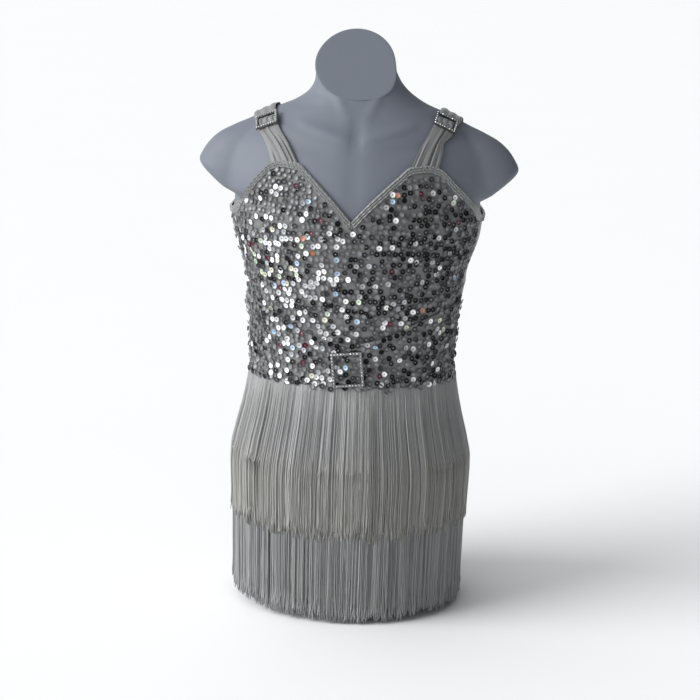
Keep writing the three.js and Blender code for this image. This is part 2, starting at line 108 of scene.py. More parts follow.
# Each cup's edge; the wearer's right armhole is cut lower.
FRONT_EDGE = [(0, 399.5), (9, 420.5), (20, 441), (26, 449.7), (34.5, 451.2), (41, 448.2), (50.5, 433),
              (63.5, 414.5), (73.6, 402.5), (77, 398.5)]
RIGHT_FRONT_EDGE = [(0, 399.5), (9, 420.5), (20, 441.6), (26, 450), (34.5, 451.2), (41, 447.4), (45.5, 440),
                    (50.5, 430.2), (57, 417.4), (64, 407), (71, 400.8), (77, 398.5)]
BACK_EDGE = [(77, 398.5), (90, 397.5), (105, 401), (120, 412), (135, 430), (145, 443), (151, 446),
             (157, 443.5), (166, 422), (173, 404), (180, 397)]
BINDING_WIDTH = 6.5
SEAM_GAP = 0.3
SASH_TOP = [(0, 278), (10, 281), (25, 289), (39, 300), (60, 310), (77, 315)]
STRAP_MIDDLE = [(0, 67.5), (0.1, 73), (0.2, 79.5), (0.29, 83.5), (0.42, 89), (0.55, 90), (0.73, 84),
                (0.88, 73), (1, 62)]
STRAP_WIDTH = [(0, 25), (0.1, 21.5), (0.2, 20), (0.29, 20.5), (0.42, 21), (0.73, 20), (0.88, 20), (1, 24)]
STRAP_AXIS = (5, 440)
STRAP_LIFT = 2.1
STRAP_SEAM = 0.9  # how far over the bodice's edge a strap begins
END_PASSES = 12  # that find where a strap's side meets the bodice's edge
FARTHEST = 120.0  # from the strap's axis to the form, at most
HALVINGS = 26
STRAP_FRAME = dict(width=23, height=16, bar=2.5, thick=2)
# The straps aren't a pair: how far each swings out before its frame, where its frame sits and turns.
STRAP_SIDES = {
    "left": dict(side=1, lean=0, share=0.292, turn=math.radians(8)),
    "right": dict(side=-1, lean=5, share=0.272, turn=math.radians(12)),
}
LEAN_REACH = 0.54
WAIST_FRAME = dict(width=30.5, height=34, bar=2.6, thick=2.2, z=254.5, turn=6)


# ---- curves and the torso's surface

def clamp(values):
    return np.clip(values, 0, 1)


def bell(values):
    """A smooth bump, 1 where the value is 0 and next to nothing past 2."""
    return np.exp(-values ** 2)


def floats(*values):
    """These numbers or arrays as arrays of one shape."""
    return np.broadcast_arrays(*(np.asarray(value, float) for value in values))


def smooth_through(rows):
    """A monotone cubic through (x, y) rows, for a number or an array."""
    xs, ys = np.array(rows, float).T
    step = np.diff(xs)
    rise = np.diff(ys) / step
    slope = np.empty_like(xs)
    slope[0], slope[-1] = rise[0], rise[-1]
    for i in range(1, len(xs) - 1):
        if rise[i - 1] * rise[i] <= 0:
            slope[i] = 0
        else:
            before, after = 2 * step[i] + step[i - 1], step[i] + 2 * step[i - 1]
            slope[i] = (before + after) / (before / rise[i - 1] + after / rise[i])

    def at(x):
        i = np.clip(np.searchsorted(xs, x, side="right") - 1, 0, len(xs) - 2)
        t = (np.asarray(x, float) - xs[i]) / step[i]
        eased = t * t * (3 - 2 * t)
        bend = t * (1 - t) ** 2 * step[i] * slope[i] + t * t * (t - 1) * step[i] * slope[i + 1]
        return ys[i] + (ys[i + 1] - ys[i]) * eased + bend

    return at


TORSO_CURVES = {name: smooth_through([(row[0], row[i + 1]) for row in TORSO])
                for i, name in enumerate(TORSO_COLUMNS[1:])}
inseam = smooth_through(INSEAM)
front_edge = smooth_through(FRONT_EDGE)
right_front_edge = smooth_through(RIGHT_FRONT_EDGE)
back_edge = smooth_through(BACK_EDGE)
sash_top = smooth_through(SASH_TOP)
strap_middle = smooth_through(STRAP_MIDDLE)
strap_width = smooth_through(STRAP_WIDTH)


def level_at(z):
    level = {name: curve(z) for name, curve in TORSO_CURVES.items()}
    inner = np.where(np.asarray(z) < JOINED_Z, inseam(np.minimum(z, JOINED_Z)), -level["core"])
    level["middle"] = (level["core"] + inner) / 2
    level["radius"] = (level["core"] - inner) / 2
    return level


def reach(level, x, is_front, out):
    """How far the body, grown by out, reaches forwards or backwards at x."""
    depth = np.where(is_front, level["front"], level["back"])
    across = np.abs(x)
    fullness = 2 + ARM_FULLNESS * level["arm"]
    width = level["radius"] + level["arm"] + out
    oval = np.clip(1 - np.abs((across - level["middle"]) / width) ** fullness, 0, None)
    ribs = np.clip(1 - (across / (level["core"] + out)) ** 2, 0, None) ** TRUNK_ROUNDNESS
    return (level["lens"] * depth + out) * np.sqrt(oval) + (1 - level["lens"]) * depth * ribs


def trunk(degrees, z, out):
    """Points of the trunk, by degrees round from the middle of the front towards +X."""
    degrees, z, out = floats(degrees, z, out)
    angle = np.radians(degrees)
    level = level_at(z)
    x = (level["core"] + out) * np.sin(angle)
    is_front = np.cos(angle) > 0
    y = reach(level, x, is_front, out)
    return np.stack([x, np.where(is_front, -y, y), z], -1)


def half(z, share, out):
    """Points of one half of the body, x positive: share 0 at the front middle or inseam, 1 at the back."""
    z, share, out = floats(z, share, out)
    level = level_at(z)
    radius = level["radius"] + out
    past = np.arcsin(np.minimum(1, level["middle"] / level["radius"]))
    turn = np.sin(-past + share * (np.pi + 2 * past))
    sideways = math.sin(math.radians(SHOULDER_TURN))
    stretch = level["arm"] * np.clip((turn - sideways) / (1 - sideways), 0, None)
    x = np.maximum(0, level["middle"] + radius * turn + stretch)
    is_front = share < 0.5
    at_inseam = ((share == 0) | (share == 1)) & (level["middle"] >= radius)
    y = np.where(at_inseam, 0, reach(level, x, is_front, out))
    return np.stack([x, np.where(is_front, -y, y), z], -1)


def unit(vectors):
    return vectors / np.maximum(np.linalg.norm(vectors, axis=-1, keepdims=True), 1e-9)


def length_along(points, axis=0):
    """Length from the start of each line of points to each point of it."""
    steps = np.linalg.norm(np.diff(points, axis=axis), axis=-1)
    return np.concatenate([np.zeros_like(steps.take([0], axis)), np.cumsum(steps, axis)], axis)


def points_at(places, length, line):
    return np.stack([np.interp(places, length, line[:, k]) for k in range(3)], 1)


def trunk_frame(degrees, z, out):
    """Point, direction round, direction up and direction out on the trunk."""
    at = trunk(degrees, z, out)
    around = unit(trunk(degrees + 0.2, z, out) - trunk(degrees - 0.2, z, out))
    up = unit(trunk(degrees, z + 0.4, out) - trunk(degrees, z - 0.4, out))
    outward = unit(np.cross(around, up))
    return at, around, np.cross(outward, around), outward


def up_from_waist(top, share):
    """Heights between the waist seam and a top edge."""
    low = WAIST_Z + SEAM_GAP
    return low + (top - low) * share


def edge_front(degrees):
    return np.where(np.asarray(degrees) < 0, right_front_edge(np.abs(degrees)), front_edge(np.abs(degrees)))


def edge_back(degrees):
    return back_edge(np.where(degrees > 180, 360 - degrees, degrees))


def drop_of(edge, degrees, width):
    """Height that a strip of this width takes off an edge, as its width is square to the edge."""
    slopes = []
    for step in (-1, 1):
        here = trunk(degrees, edge(degrees), 0)
        there = trunk(degrees + step, edge(degrees + step), 0)
        run = there - here
        slopes.append(run[..., 2] / np.hypot(run[..., 0], run[..., 1]))
    return width * np.hypot(1, np.minimum(np.abs(slopes[0]), np.abs(slopes[1])))


# ---- meshes

def make_mesh(name, points, faces, material, uv=None, tone=None, sharp=None):
    mesh = bpy.data.meshes.new(name)
    points = np.asarray(points, float).reshape(-1, 3) * MM
    mesh.from_pydata(points.tolist(), [], faces if isinstance(faces, list) else faces.tolist())
    mesh.validate()
    mesh.update()
    mesh.polygons.foreach_set("use_smooth", np.ones(len(mesh.polygons), bool))
    if uv is not None:
        corners = np.empty(len(mesh.loops), np.int32)
        mesh.loops.foreach_get("vertex_index", corners)
        layer = mesh.uv_layers.new(name="cloth").data
        layer.foreach_set("uv", np.asarray(uv, float).reshape(-1, 2)[corners].ravel())
    if tone is not None:
        tone = np.asarray(tone, float).reshape(-1, 3)
        colours = np.concatenate([tone, np.ones((len(tone), 1))], 1)
        mesh.color_attributes.new("tone", "FLOAT_COLOR", "POINT").data.foreach_set("color", colours.ravel())
    if sharp:
        mesh.set_sharp_from_angle(angle=math.radians(sharp))
    mesh.materials.append(material)
    piece = bpy.data.objects.new(name, mesh)
    bpy.context.scene.collection.objects.link(piece)
    return piece


def grid_faces(columns, rows, first=0, ring=False, turned=False):
    lines = columns if ring else columns + 1
    i, j = np.meshgrid(np.arange(columns), np.arange(rows), indexing="ij")
    i, j = i.ravel(), j.ravel()
    after = (i + 1) % lines
    here, there = i * (rows + 1) + j, after * (rows + 1) + j
    quads = np.stack([here, there, there + 1, here + 1], 1)
    return (quads[:, ::-1] if turned else quads) + first


SHELL_CORNER = 50  # degrees from which a shell's edge is a sharp one


def shell(name, outer, inner, material, ring=False):
    """A closed thin piece between two grids of points, (columns, rows, 3), counted towards +X and up."""
    lines, heights = outer.shape[:2]
    rows = heights - 1
    columns = lines if ring else lines - 1
    back = lines * heights
    faces = [grid_faces(columns, rows, 0, ring), grid_faces(columns, rows, back, ring, turned=True)]
    i = np.arange(columns)
    after = (i + 1) % lines
    low, low_next = i * heights, after * heights
    faces.append(np.stack([low_next, low, low + back, low_next + back], 1))
    faces.append(np.stack([low + rows, low_next + rows, low_next + rows + back, low + rows + back], 1))
    if not ring:
        j = np.arange(rows)
        end = (lines - 1) * heights
        faces.append(np.stack([j, j + 1, j + 1 + back, j + back], 1))
        faces.append(np.stack([end + j + 1, end + j, end + j + back, end + j + 1 + back], 1))
    points = np.concatenate([outer.reshape(-1, 3), inner.reshape(-1, 3)])
    across = length_along(outer, 0)
    uv = np.stack([across - across[lines // 2], length_along(outer, 1)], -1).reshape(-1, 2)
    uv = np.concatenate([uv, uv])
    return make_mesh(name, points, np.concatenate(faces), material, uv=uv, sharp=SHELL_CORNER)


def scattered(name, template, template_faces, at, x_axis, y_axis, z_axis, material, tone=None, size=None):
    """Many copies of a small shape, each in its own frame."""
    size = np.ones(len(at)) if size is None else size
    template = np.asarray(template, float)
    axes = (x_axis, y_axis, z_axis)
    turned = sum(template[None, :, k:k + 1] * axis[:, None] for k, axis in enumerate(axes))
    points = at[:, None] + size[:, None, None] * turned
    faces = []
    offsets = np.arange(len(at)) * len(template)
    for count in sorted({len(face) for face in template_faces}):
        shape = np.array([face for face in template_faces if len(face) == count])
        faces += (shape[None] + offsets[:, None, None]).reshape(-1, count).tolist()
    if tone is not None and len(tone) == len(at):
        tone = np.repeat(tone, len(template), axis=0)
    return make_mesh(name, points, faces, material, tone=tone)


def lathe(rings, sides, cap_first=True, cap_last=True):
    """A turned shape as a template: rings of (radius, height)."""
    points = [(r * math.cos(2 * math.pi * k / sides), r * math.sin(2 * math.pi * k / sides), h)
              for r, h in rings for k in range(sides)]
    faces = [(a + k, a + (k + 1) % sides, a + sides + (k + 1) % sides, a + sides + k)
             for a in range(0, (len(rings) - 1) * sides, sides) for k in range(sides)]
    if cap_first:
        faces.append(tuple(reversed(range(sides))))
    if cap_last:
        faces.append(tuple(range((len(rings) - 1) * sides, len(rings) * sides)))
    return points, faces


# ---- materials

class Nodes:
    """Short calls for the nodes of a material, or of the world."""

    def __init__(self, name, kind="materials", shader="Principled BSDF"):
        self.material = getattr(bpy.data, kind).new(name)
        self.material.use_nodes = True
        self.tree = self.material.node_tree
        self.shader = self.tree.nodes[shader]

    def add(self, kind, **settings):
        node = self.tree.nodes.new("ShaderNode" + kind)
        for key, value in settings.items():
            if key in node.inputs.keys():
                self.link_or_set(node.inputs[key], value)
            else:
                setattr(node, key, value)
        return node

    def link_or_set(self, socket, value):
        if isinstance(value, bpy.types.NodeSocket):
            self.tree.links.new(value, socket)
        else:
            socket.default_value = value

    def set(self, **values):
        for key, value in values.items():
            self.link_or_set(self.shader.inputs[key.replace("_", " ")], value)

    def math(self, operation, a, b=0.0, c=0.0):
        node = self.add("Math", operation=operation)
        for socket, value in zip(node.inputs, (a, b, c)):
            self.link_or_set(socket, value)
        return node.outputs[0]

    def mix(self, factor, a, b):
        node = self.add("MixRGB")
        for socket, value in zip(node.inputs, (factor, a, b)):
            self.link_or_set(socket, value)
        return node.outputs[0]

    def noise(self, scale, detail):
        where = self.add("TexCoord").outputs["Object"]
        return self.add("TexNoise", Vector=where, Scale=scale, Detail=detail, Roughness=0.5).outputs["Fac"]

    def span(self, value, low, high, start=0.0, end=1.0, ease="LINEAR"):
        """The value between start and end, spread out between low and high."""
        node = self.add("MapRange", Value=value, interpolation_type=ease)
        for key, number in (("From Min", start), ("From Max", end), ("To Min", low), ("To Max", high)):
            node.inputs[key].default_value = number
        return node.outputs[0]

    def bump(self, height, strength, distance, normal=None):
        node = self.add("Bump", Height=height, Strength=strength, Distance=distance)
        if normal is not None:
            self.tree.links.new(normal, node.inputs["Normal"])
        return node.outputs[0]


def grey(value, tint=(1, 1, 1)):
    return (value * tint[0], value * tint[1], value * tint[2], 1)


def form_material():
    n = Nodes("form_plastic")
    cloud = n.noise(9, 4)
    dark, light = grey(0.152, (0.89, 0.99, 1.2)), grey(0.163, (0.9, 0.99, 1.18))
    n.set(Base_Color=n.mix(n.span(cloud, 0.3, 0.7), dark, light))
    n.set(Roughness=n.span(n.noise(60, 3), 0.5, 0.6), Specular_IOR_Level=0.35)
    fine = n.bump(n.noise(700, 2), 0.05, 0.0004)
    n.set(Normal=n.bump(n.noise(22, 2), 0.06, 0.002, fine))
    return n.material


def knit_height(n, rib=0.62, course=0.5):
    """Height of a fine knit from the piece's own millimetre coordinates."""
    uv = n.add("UVMap", uv_map="cloth")
    split = n.add("SeparateXYZ", Vector=uv.outputs[0])
    u = n.math("MULTIPLY", split.outputs[0], 2 * math.pi / rib)
    v = n.math("MULTIPLY", split.outputs[1], 2 * math.pi / course)
    legs = n.math("ABSOLUTE", n.math("SINE", n.math("MULTIPLY", u, 0.5)))
    loops = n.math("SINE", n.math("ADD", v, n.math("MULTIPLY", legs, 2.4)))
    return n.math("ADD", n.math("MULTIPLY", legs, 0.7), n.math("MULTIPLY", loops, 0.3))


def knit_material(name, tone, rough, sheen, shine, tint=(1, 1, 1), **more):
    n = Nodes(name)
    knit = knit_height(n)
    cloud = n.noise(14, 4)
    base = n.mix(n.span(cloud, 0.25, 0.75), grey(tone * 0.9, tint), grey(tone * 1.08, tint))
    # Painted shade: the knit's low places, between its loops, take a darker colour, 0.72 of the tone.
    n.set(Base_Color=n.mix(n.span(knit, 0.0, 0.5), grey(tone * 0.72, tint), base))
    n.set(Roughness=n.span(knit, rough + 0.08, rough), Specular_IOR_Level=shine, **more)
    n.set(Sheen_Weight=sheen, Sheen_Roughness=0.35)
    n.set(Normal=n.bump(knit, 0.35, 0.00025))
    return n.material


def toned_material(name, rough_low, rough_high, metallic, **more):
    """A material whose colour each small piece brings with it."""
    n = Nodes(name)
    n.set(Base_Color=n.add("VertexColor", layer_name="tone").outputs["Color"], Metallic=metallic)
    n.set(Roughness=n.span(n.noise(260, 2), rough_low, rough_high), **more)
    return n


def cord_material():
    n = toned_material("chainette", 0.38, 0.52, 0.0, Sheen_Weight=0.25, Sheen_Roughness=0.4)
    n.set(Specular_IOR_Level=0.55)
    split = n.add("SeparateXYZ", Vector=n.add("TexCoord").outputs["Object"])
    loops = n.math("SINE", n.math("MULTIPLY", split.outputs[2], 2 * math.pi / 0.0012))
    n.set(Normal=n.bump(loops, 0.5, 0.00025))
    return n.material


def metal_material(name, tone, rough):
    n = Nodes(name)
    n.set(Base_Color=grey(tone, (1, 1, 1.02)), Metallic=1.0)
    n.set(Roughness=n.span(n.noise(900, 3), rough * 0.8, rough * 1.3))
    n.set(Normal=n.bump(n.noise(1200, 2), 0.1, 0.0002))
    return n.material


FORM = form_material()
KNIT = knit_material("knit_grey", 0.21, 0.44, 0.35, 0.5)
GROUND = knit_material("knit_under_sequins", 0.225, 0.55, 0.3, 0.35)
BINDING = knit_material("knit_shiny", 0.28, 0.22, 0.25, 1.0, Coat_Weight=0.5, Coat_Roughness=0.14)
STRAP = knit_material("knit_strap", 0.23, 0.42, 0.35, 0.6)
SEQUIN = toned_material("cup_sequin", 0.3, 0.44, 0.25, Specular_IOR_Level=0.1).material
CORD = cord_material()
THREAD = knit_material("sewing_thread", 0.42, 0.4, 0.4, 0.5)
METAL = metal_material("grey_metal", 0.22, 0.35)
STONE = toned_material("cut_stone", 0.04, 0.07, 0.55, Specular_IOR_Level=1.0, IOR=1.9, Coat_Weight=0.6,
                       Coat_Roughness=0.03).material


# ---- creases

# Soft ridges and troughs over the knit: both ends (degrees, z), width, height.
FRONT_CREASES = [
    (-70, 388, -38, 404, 7, 0.9),
    (-72, 372, -45, 383, 8, -0.8),
    (70, 386, 40, 402, 7, 0.8),
    (73, 366, 50, 372, 9, -0.7),
    (-74, 336, -50, 330, 9, 0.7),
    (74, 330, 54, 322, 8, 0.8),
    (-8, 372, 10, 350, 10, -0.6),
]
BACK_CREASES = [
    (88, 330, 128, 318, 8, 1.4),
    (92, 312, 135, 304, 7, -1.2),
    (270, 326, 232, 316, 8, 1.2),
    (268, 305, 226, 300, 7, -1.0),
    (150, 268, 206, 263, 7, 1.4),
    (140, 254, 216, 250, 6, -1.0),
    (160, 352, 196, 346, 11, 0.9),
    (96, 372, 118, 386, 8, 1.0),
    (264, 374, 244, 390, 8, 1.0),
    (120, 392, 140, 420, 7, -0.9),
    (240, 390, 222, 416, 7, -0.9),
]
MM_PER_DEGREE = 1.8


def along_line(a, b, from_a, from_b, to_a, to_b, width):
    """Share along a line of each place, and how near it is to the line."""
    run = np.array([to_a - from_a, to_b - from_b], float)
    da, db = a - from_a, b - from_b
    t = clamp((da * run[0] + db * run[1]) / run.dot(run))
    return t, bell(np.hypot(da - t * run[0], db - t * run[1]) / width * 1.6)


def creased(degrees, z, creases):
    """Height that the creases add at a place on the trunk."""
    total = np.zeros(np.broadcast(degrees, z).shape)
    for from_turn, from_z, to_turn, to_z, width, height in creases:
        ends = from_turn * MM_PER_DEGREE, from_z, to_turn * MM_PER_DEGREE, to_z
        t, near = along_line(degrees * MM_PER_DEGREE, z, *ends, width)
        total = total + height * near * np.sin(np.pi * (0.15 + 0.7 * t))
    return total


# ---- the form

ARM_EDGE = 13  # how far back from the arm's cut its edge starts to round
FORM_LINES = 101  # lines of points from the front round to the back of one half
FINE_FROM = 396  # height from which the form's levels stand closer, for its arms
NECK_FROM = 500  # height where the rows that follow the neck's cut begin
NECK_ROWS = 30
CUT_PASSES = 12  # that bring the neck's wall onto its sloped cut
RIM = 1.7  # how far from the neck's edge its rounding starts
LIP = 2.9  # how far out the rounding's middle point pulls it, which leaves a small bead
# Soft modelling of the chest and throat: (x, z) of both ends, width, height.
FORM_RELIEF = [
    (8, 473, 52, 484, 7, 2.2),
    (-8, 473, -52, 484, 7, 2.2),
    (0, 484, 0, 462, 8, -3.2),
    (9, 490, 30, 530, 8, 1.5),
    (-9, 490, -30, 530, 8, 1.5),
    (30, 462, 70, 466, 11, -1.6),
    (-30, 462, -70, 466, 11, -1.6),
    (0, 452, 0, 415, 10, -1.4),
]


def lower_of(a, b, blend):
    mix = clamp(0.5 + (b - a) / (2 * blend))
    return b + (a - b) * mix - blend * mix * (1 - mix)


def form_surface(z, share):
    """The form's right-hand half, its arm sawn off on a slant with a rounded edge."""
    points = half(z, share, 0)
    x, y, z = points[..., 0], points[..., 1], points[..., 2]
    above = z - ARM_CUT["z"]
    slope = math.tan(ARM_CUT["lean"])
    limit = ARM_CUT["x"] + np.where(above > 0, above * slope, -above / slope)
    far_from_arm = clamp((FINE_FROM - z) / 6)
    points[..., 0] = lower_of(x, limit + 60 * far_from_arm, ARM_EDGE)
    for x0, z0, x1, z1, width, height in FORM_RELIEF:
        t, near = along_line(x, z, x0, z0, x1, z1, width)
        points[..., 1] -= np.where((y < 0) & (z > 400), height * near * np.sin(np.pi * (0.2 + 0.6 * t)), 0)
    return points


def dress_form():
    turn = np.linspace(-1, 1, FORM_LINES)
    share = (0.5 + 0.5 * (0.6 * turn + 0.4 * turn ** 3))[:, None]
    levels = np.concatenate([np.arange(0, FINE_FROM, 5.5), np.arange(FINE_FROM, NECK_FROM, 2)])[None, :]
    wall = form_surface(*np.broadcast_arrays(levels, share))
    tilt = (NECK["cut_back"] - NECK["cut_front"]) / (2 * NECK["half"])
    middle = (NECK["cut_front"] + NECK["cut_back"]) / 2
    top = np.full((FORM_LINES, 1), float(middle))
    for _ in range(CUT_PASSES):
        top = middle + tilt * half(top, share, 0)[..., 1]
    rise = np.linspace(0, 1, NECK_ROWS + 1)[None, 1:]
    neck = form_surface(*np.broadcast_arrays(NECK_FROM + (top - RIM - NECK_FROM) * rise, share))
    rim = half(top, share, 0)
    centre = np.array((0, 0, middle))
    outwards = (rim - centre) / np.linalg.norm(rim - centre, axis=-1, keepdims=True)
    inset, lip = rim - outwards * RIM, rim + outwards * LIP
    bend = np.linspace(0, 1, 7)[None, 1:, None]
    edge = neck[:, -1:] * (1 - bend) ** 2 + lip * 2 * bend * (1 - bend) + inset * bend ** 2
    cap = inset + (centre - inset) * np.array((0.12, 0.4, 0.75))[None, :, None]
    grid = np.concatenate([wall, neck, edge, cap], 1)
    rows = grid.shape[1] - 1
    points, faces = [], []
    for sign in (1, -1):
        mirrored = grid * (sign, 1, 1)
        lean = clamp((mirrored[..., 2] - NECK["start"]) / (NECK["end"] - NECK["start"]))
        mirrored[..., 0] += NECK["lean"] * lean * lean * (3 - 2 * lean)
        first = len(points) * grid.shape[0] * (rows + 1)
        points.append(mirrored.reshape(-1, 3))
        faces.append(grid_faces(FORM_LINES - 1, rows, first, turned=sign < 0))
    form = make_mesh("dress_form", np.concatenate(points), np.concatenate(faces), FORM)
    build = bmesh.new()
    build.from_mesh(form.data)
    bmesh.ops.remove_doubles(build, verts=build.verts, dist=2e-5)
    bmesh.ops.dissolve_degenerate(build, edges=build.edges, dist=1e-6)
    open_edges = [edge for edge in build.edges if edge.is_boundary]
    bmesh.ops.holes_fill(build, edges=open_edges, sides=0)
    bmesh.ops.recalc_face_normals(build, faces=build.faces)
    for face in build.faces:
        face.smooth = True
    build.to_mesh(form.data)
    build.free()
    form.data.set_sharp_from_angle(angle=math.radians(60))
    return form


# ---- bodice, bindings, sash

UNDER_BINDING = 3.5


def panel(name, edge, start, end, columns, rows, creases, material, out=(2.0, 3.0)):
    turns = np.linspace(start, end, columns + 1)[:, None]
    top = edge(turns) - drop_of(edge, turns, BINDING_WIDTH - UNDER_BINDING)
    z = up_from_waist(top, np.linspace(0, 1, rows + 1)[None, :])
    wave = creased(turns, z, creases)
    tucked = clamp((z - top + 10) / 8)
    lift = wave * (1 - tucked) - 0.5 * tucked
    return shell(name, trunk(turns, z, out[1] + lift), trunk(turns, z, out[0] + lift), material)


# Stitched channels of a binding: place over its width and half width.
CHANNELS = [(0.14, 0.1), (0.5, 0.1), (0.86, 0.1)]


def binding_height(share, turns):
    """Height of a binding over the body, whose channels pucker between their stitches."""
    height = 3.15 + 0 * share * turns
    for k, (middle, width) in enumerate(CHANNELS):
        pucker = 1 + 0.38 * np.sin(turns * 3.1 + 2.1 * k + 1.4 * np.sin(turns / 5 + k))
        height = height + 1.4 * pucker * bell((share - middle) / width)
    return height


def binding(name, edge, start, end, columns):
    turns = np.linspace(start, end, columns + 1)[:, None]
    share = np.linspace(0, 1, 25)[None, :]
    z = edge(turns) - drop_of(edge, turns, BINDING_WIDTH) * (1 - share)
    mitre = 0.5 * np.where((turns > 0) & (turns < 4), 1 - turns / 4, 0) - 0.9 * bell(turns / 0.3)
    outer = binding_height(share, turns) + mitre
    return shell(name, trunk(turns, z, outer), trunk(turns, z, 2.2 + 0 * outer), BINDING)


def stitches(name, edge, start, end, shares, pitch=2.4):
    """Rows of stitches along a binding."""
    fine = np.linspace(start, end, 1200)
    parts = []
    for share in shares:
        z = edge(fine) - drop_of(edge, fine, BINDING_WIDTH) * (1 - share)
        line = trunk(fine, z, 3.5)
        length = length_along(line)
        places = np.arange(pitch / 2, length[-1], pitch)
        at, ahead = points_at(places, length, line), points_at(places + 0.3, length, line)
        turns = np.interp(places, length, fine)
        heights = np.interp(places, length, z)
        parts.append((at, unit(ahead - at), trunk_frame(turns, heights, 3)[3]))
    return thread_runs(name, parts)


def thread_runs(name, parts, long=1.8, thick=0.22):
    at, along, outward = (np.concatenate([part[k] for part in parts]) for k in range(3))
    across = unit(np.cross(along, outward))
    outward = np.cross(across, along)
    half_rings = [(thick, long * 0.3), (0.35 * thick, long / 2)]
    template, faces = lathe([(radius, -height) for radius, height in half_rings[::-1]] + half_rings, 5)
    return scattered(name, template, faces, at, across, outward, along, THREAD)


def sash_fold(turns, share):
    """Gathers that fan out from the frame at the middle of the sash."""
    near = 0.12 + 0.88 * np.exp(-np.abs(turns) / 24)
    sway = 0.06 * np.sin(turns / 9 + 1) + 0.04 * np.sin(turns / 4.3)
    ridges = np.sin(np.pi * (4.6 * share + sway * 4)) ** 2
    small = np.sin(np.pi * (9.5 * share + 0.3 * np.sin(turns / 5))) ** 2
    ridges = ridges * (0.7 + 0.3 * np.sin(turns / 7 + 5 * share))
    return near * (1.9 * ridges + 0.7 * small * np.exp(-np.abs(turns) / 12))


SASH_OUT = (4.4, 5.4)


def sash():
    turns = np.linspace(-SIDE_SEAM, SIDE_SEAM, 181)[:, None]
    share = np.linspace(0, 1, 61)[None, :]
    z = up_from_waist(sash_top(np.abs(turns)), share)
    edge = 0.35 * bell((share - 0.97) / 0.03)
    fold = sash_fold(turns, share) + edge - 1.2 * clamp((share - 0.985) / 0.015)
    outer, inner = trunk(turns, z, SASH_OUT[1] + fold), trunk(turns, z, SASH_OUT[0] + fold * 0.9)
    return shell("waist_sash", outer, inner, GROUND)


# ---- sequins

# Kinds of sequin by colour, with painted light in them: the near-white ones are painted glints and the
# near-black ones painted dark reflections. Colour, spread, and share of all at four places on the front: on
# the cups and round the
# wearer's right side, low on the right, low on the left, and round the left side. The shares paint light by
# side:
# more white on the wearer's right, where the key light falls, and more black on the shaded left.
SEQUIN_TONES_AND_PAINTED_GLINTS = [
    ((0.86, 0.86, 0.88), 0.12, (0.04, 0.155, 0.035, 0.005)),
    ((0.50, 0.51, 0.53), 0.1, (0.03, 0.12, 0.035, 0.02)),
    ((0.004, 0.004, 0.005), 0.002, (0.06, 0.085, 0.36, 0.16)),
    ((0.050, 0.050, 0.055), 0.02, (0.17, 0.12, 0.20, 0.30)),
    ((0.165, 0.165, 0.17), 0.04, (0.62, 0.38, 0.31, 0.49)),
    ((0.10, 0.022, 0.035), 0.02, (0.006, 0.018, 0.006, 0)),
    ((0.46, 0.22, 0.15), 0.03, (0.006, 0.003, 0.005, 0)),
    ((0.55, 0.64, 0.52), 0.05, (0.008, 0.02, 0.004, 0)),
    ((0.42, 0.54, 0.68), 0.06, (0.008, 0.012, 0.008, 0.004)),
    ((0.66, 0.64, 0.52), 0.05, (0.004, 0.012, 0.003, 0)),
]
SEQUIN_RINGS = [(0.4, 0.0), (0.8, 0.04), (1.85, 0.18), (2.5, 0.5)]
SEQUIN_SIDES = 11
SEQUIN_SIZES = (1.06, 1.15)
SEQUIN_PITCH = 5.7
SEQUIN_TURN = 76  # degrees from the middle to the last sequins at each side seam
SEQUIN_TOP = 452
SASH_SEQUINS_APART = 4.5


def sequin_tones_and_painted_light(turns, z):
    toward_left = 0.5 + 0.5 * np.tanh((turns - np.where(z < sash_top(np.abs(turns)), -8, 2)) / 22)
    side = clamp((turns - 54) / 10)
    cup = clamp((z - 380) / 30) * (1 - side) * (1 - 0.5 * toward_left)
    cup = np.maximum(cup, clamp((-46 - turns) / 10))
    cup = np.maximum(cup, np.where(z < WAIST_Z + 2, 0.9, 0))
    left, below = toward_left * (1 - side), 1 - cup
    weights = np.stack([cup, below * (1 - toward_left), below * left, below * side], 1)
    # Painted light: these shares put the white sequins mostly on the lit wearer's right and the black ones on
    # the shaded left.
    shares = weights @ np.array([kind[2] for kind in SEQUIN_TONES_AND_PAINTED_GLINTS]).T
    shares /= shares.sum(1, keepdims=True)
    pick = (CHANCE.random(len(turns))[:, None] > np.cumsum(shares, 1)).sum(1)
    pick = np.minimum(pick, len(SEQUIN_TONES_AND_PAINTED_GLINTS) - 1)
    colours = np.array([kind[0] for kind in SEQUIN_TONES_AND_PAINTED_GLINTS])[pick]
    spread = np.array([kind[1] for kind in SEQUIN_TONES_AND_PAINTED_GLINTS])[pick]
    return np.clip(colours + spread[:, None] * CHANCE.normal(size=(len(turns), 1)), 0.003, 1)


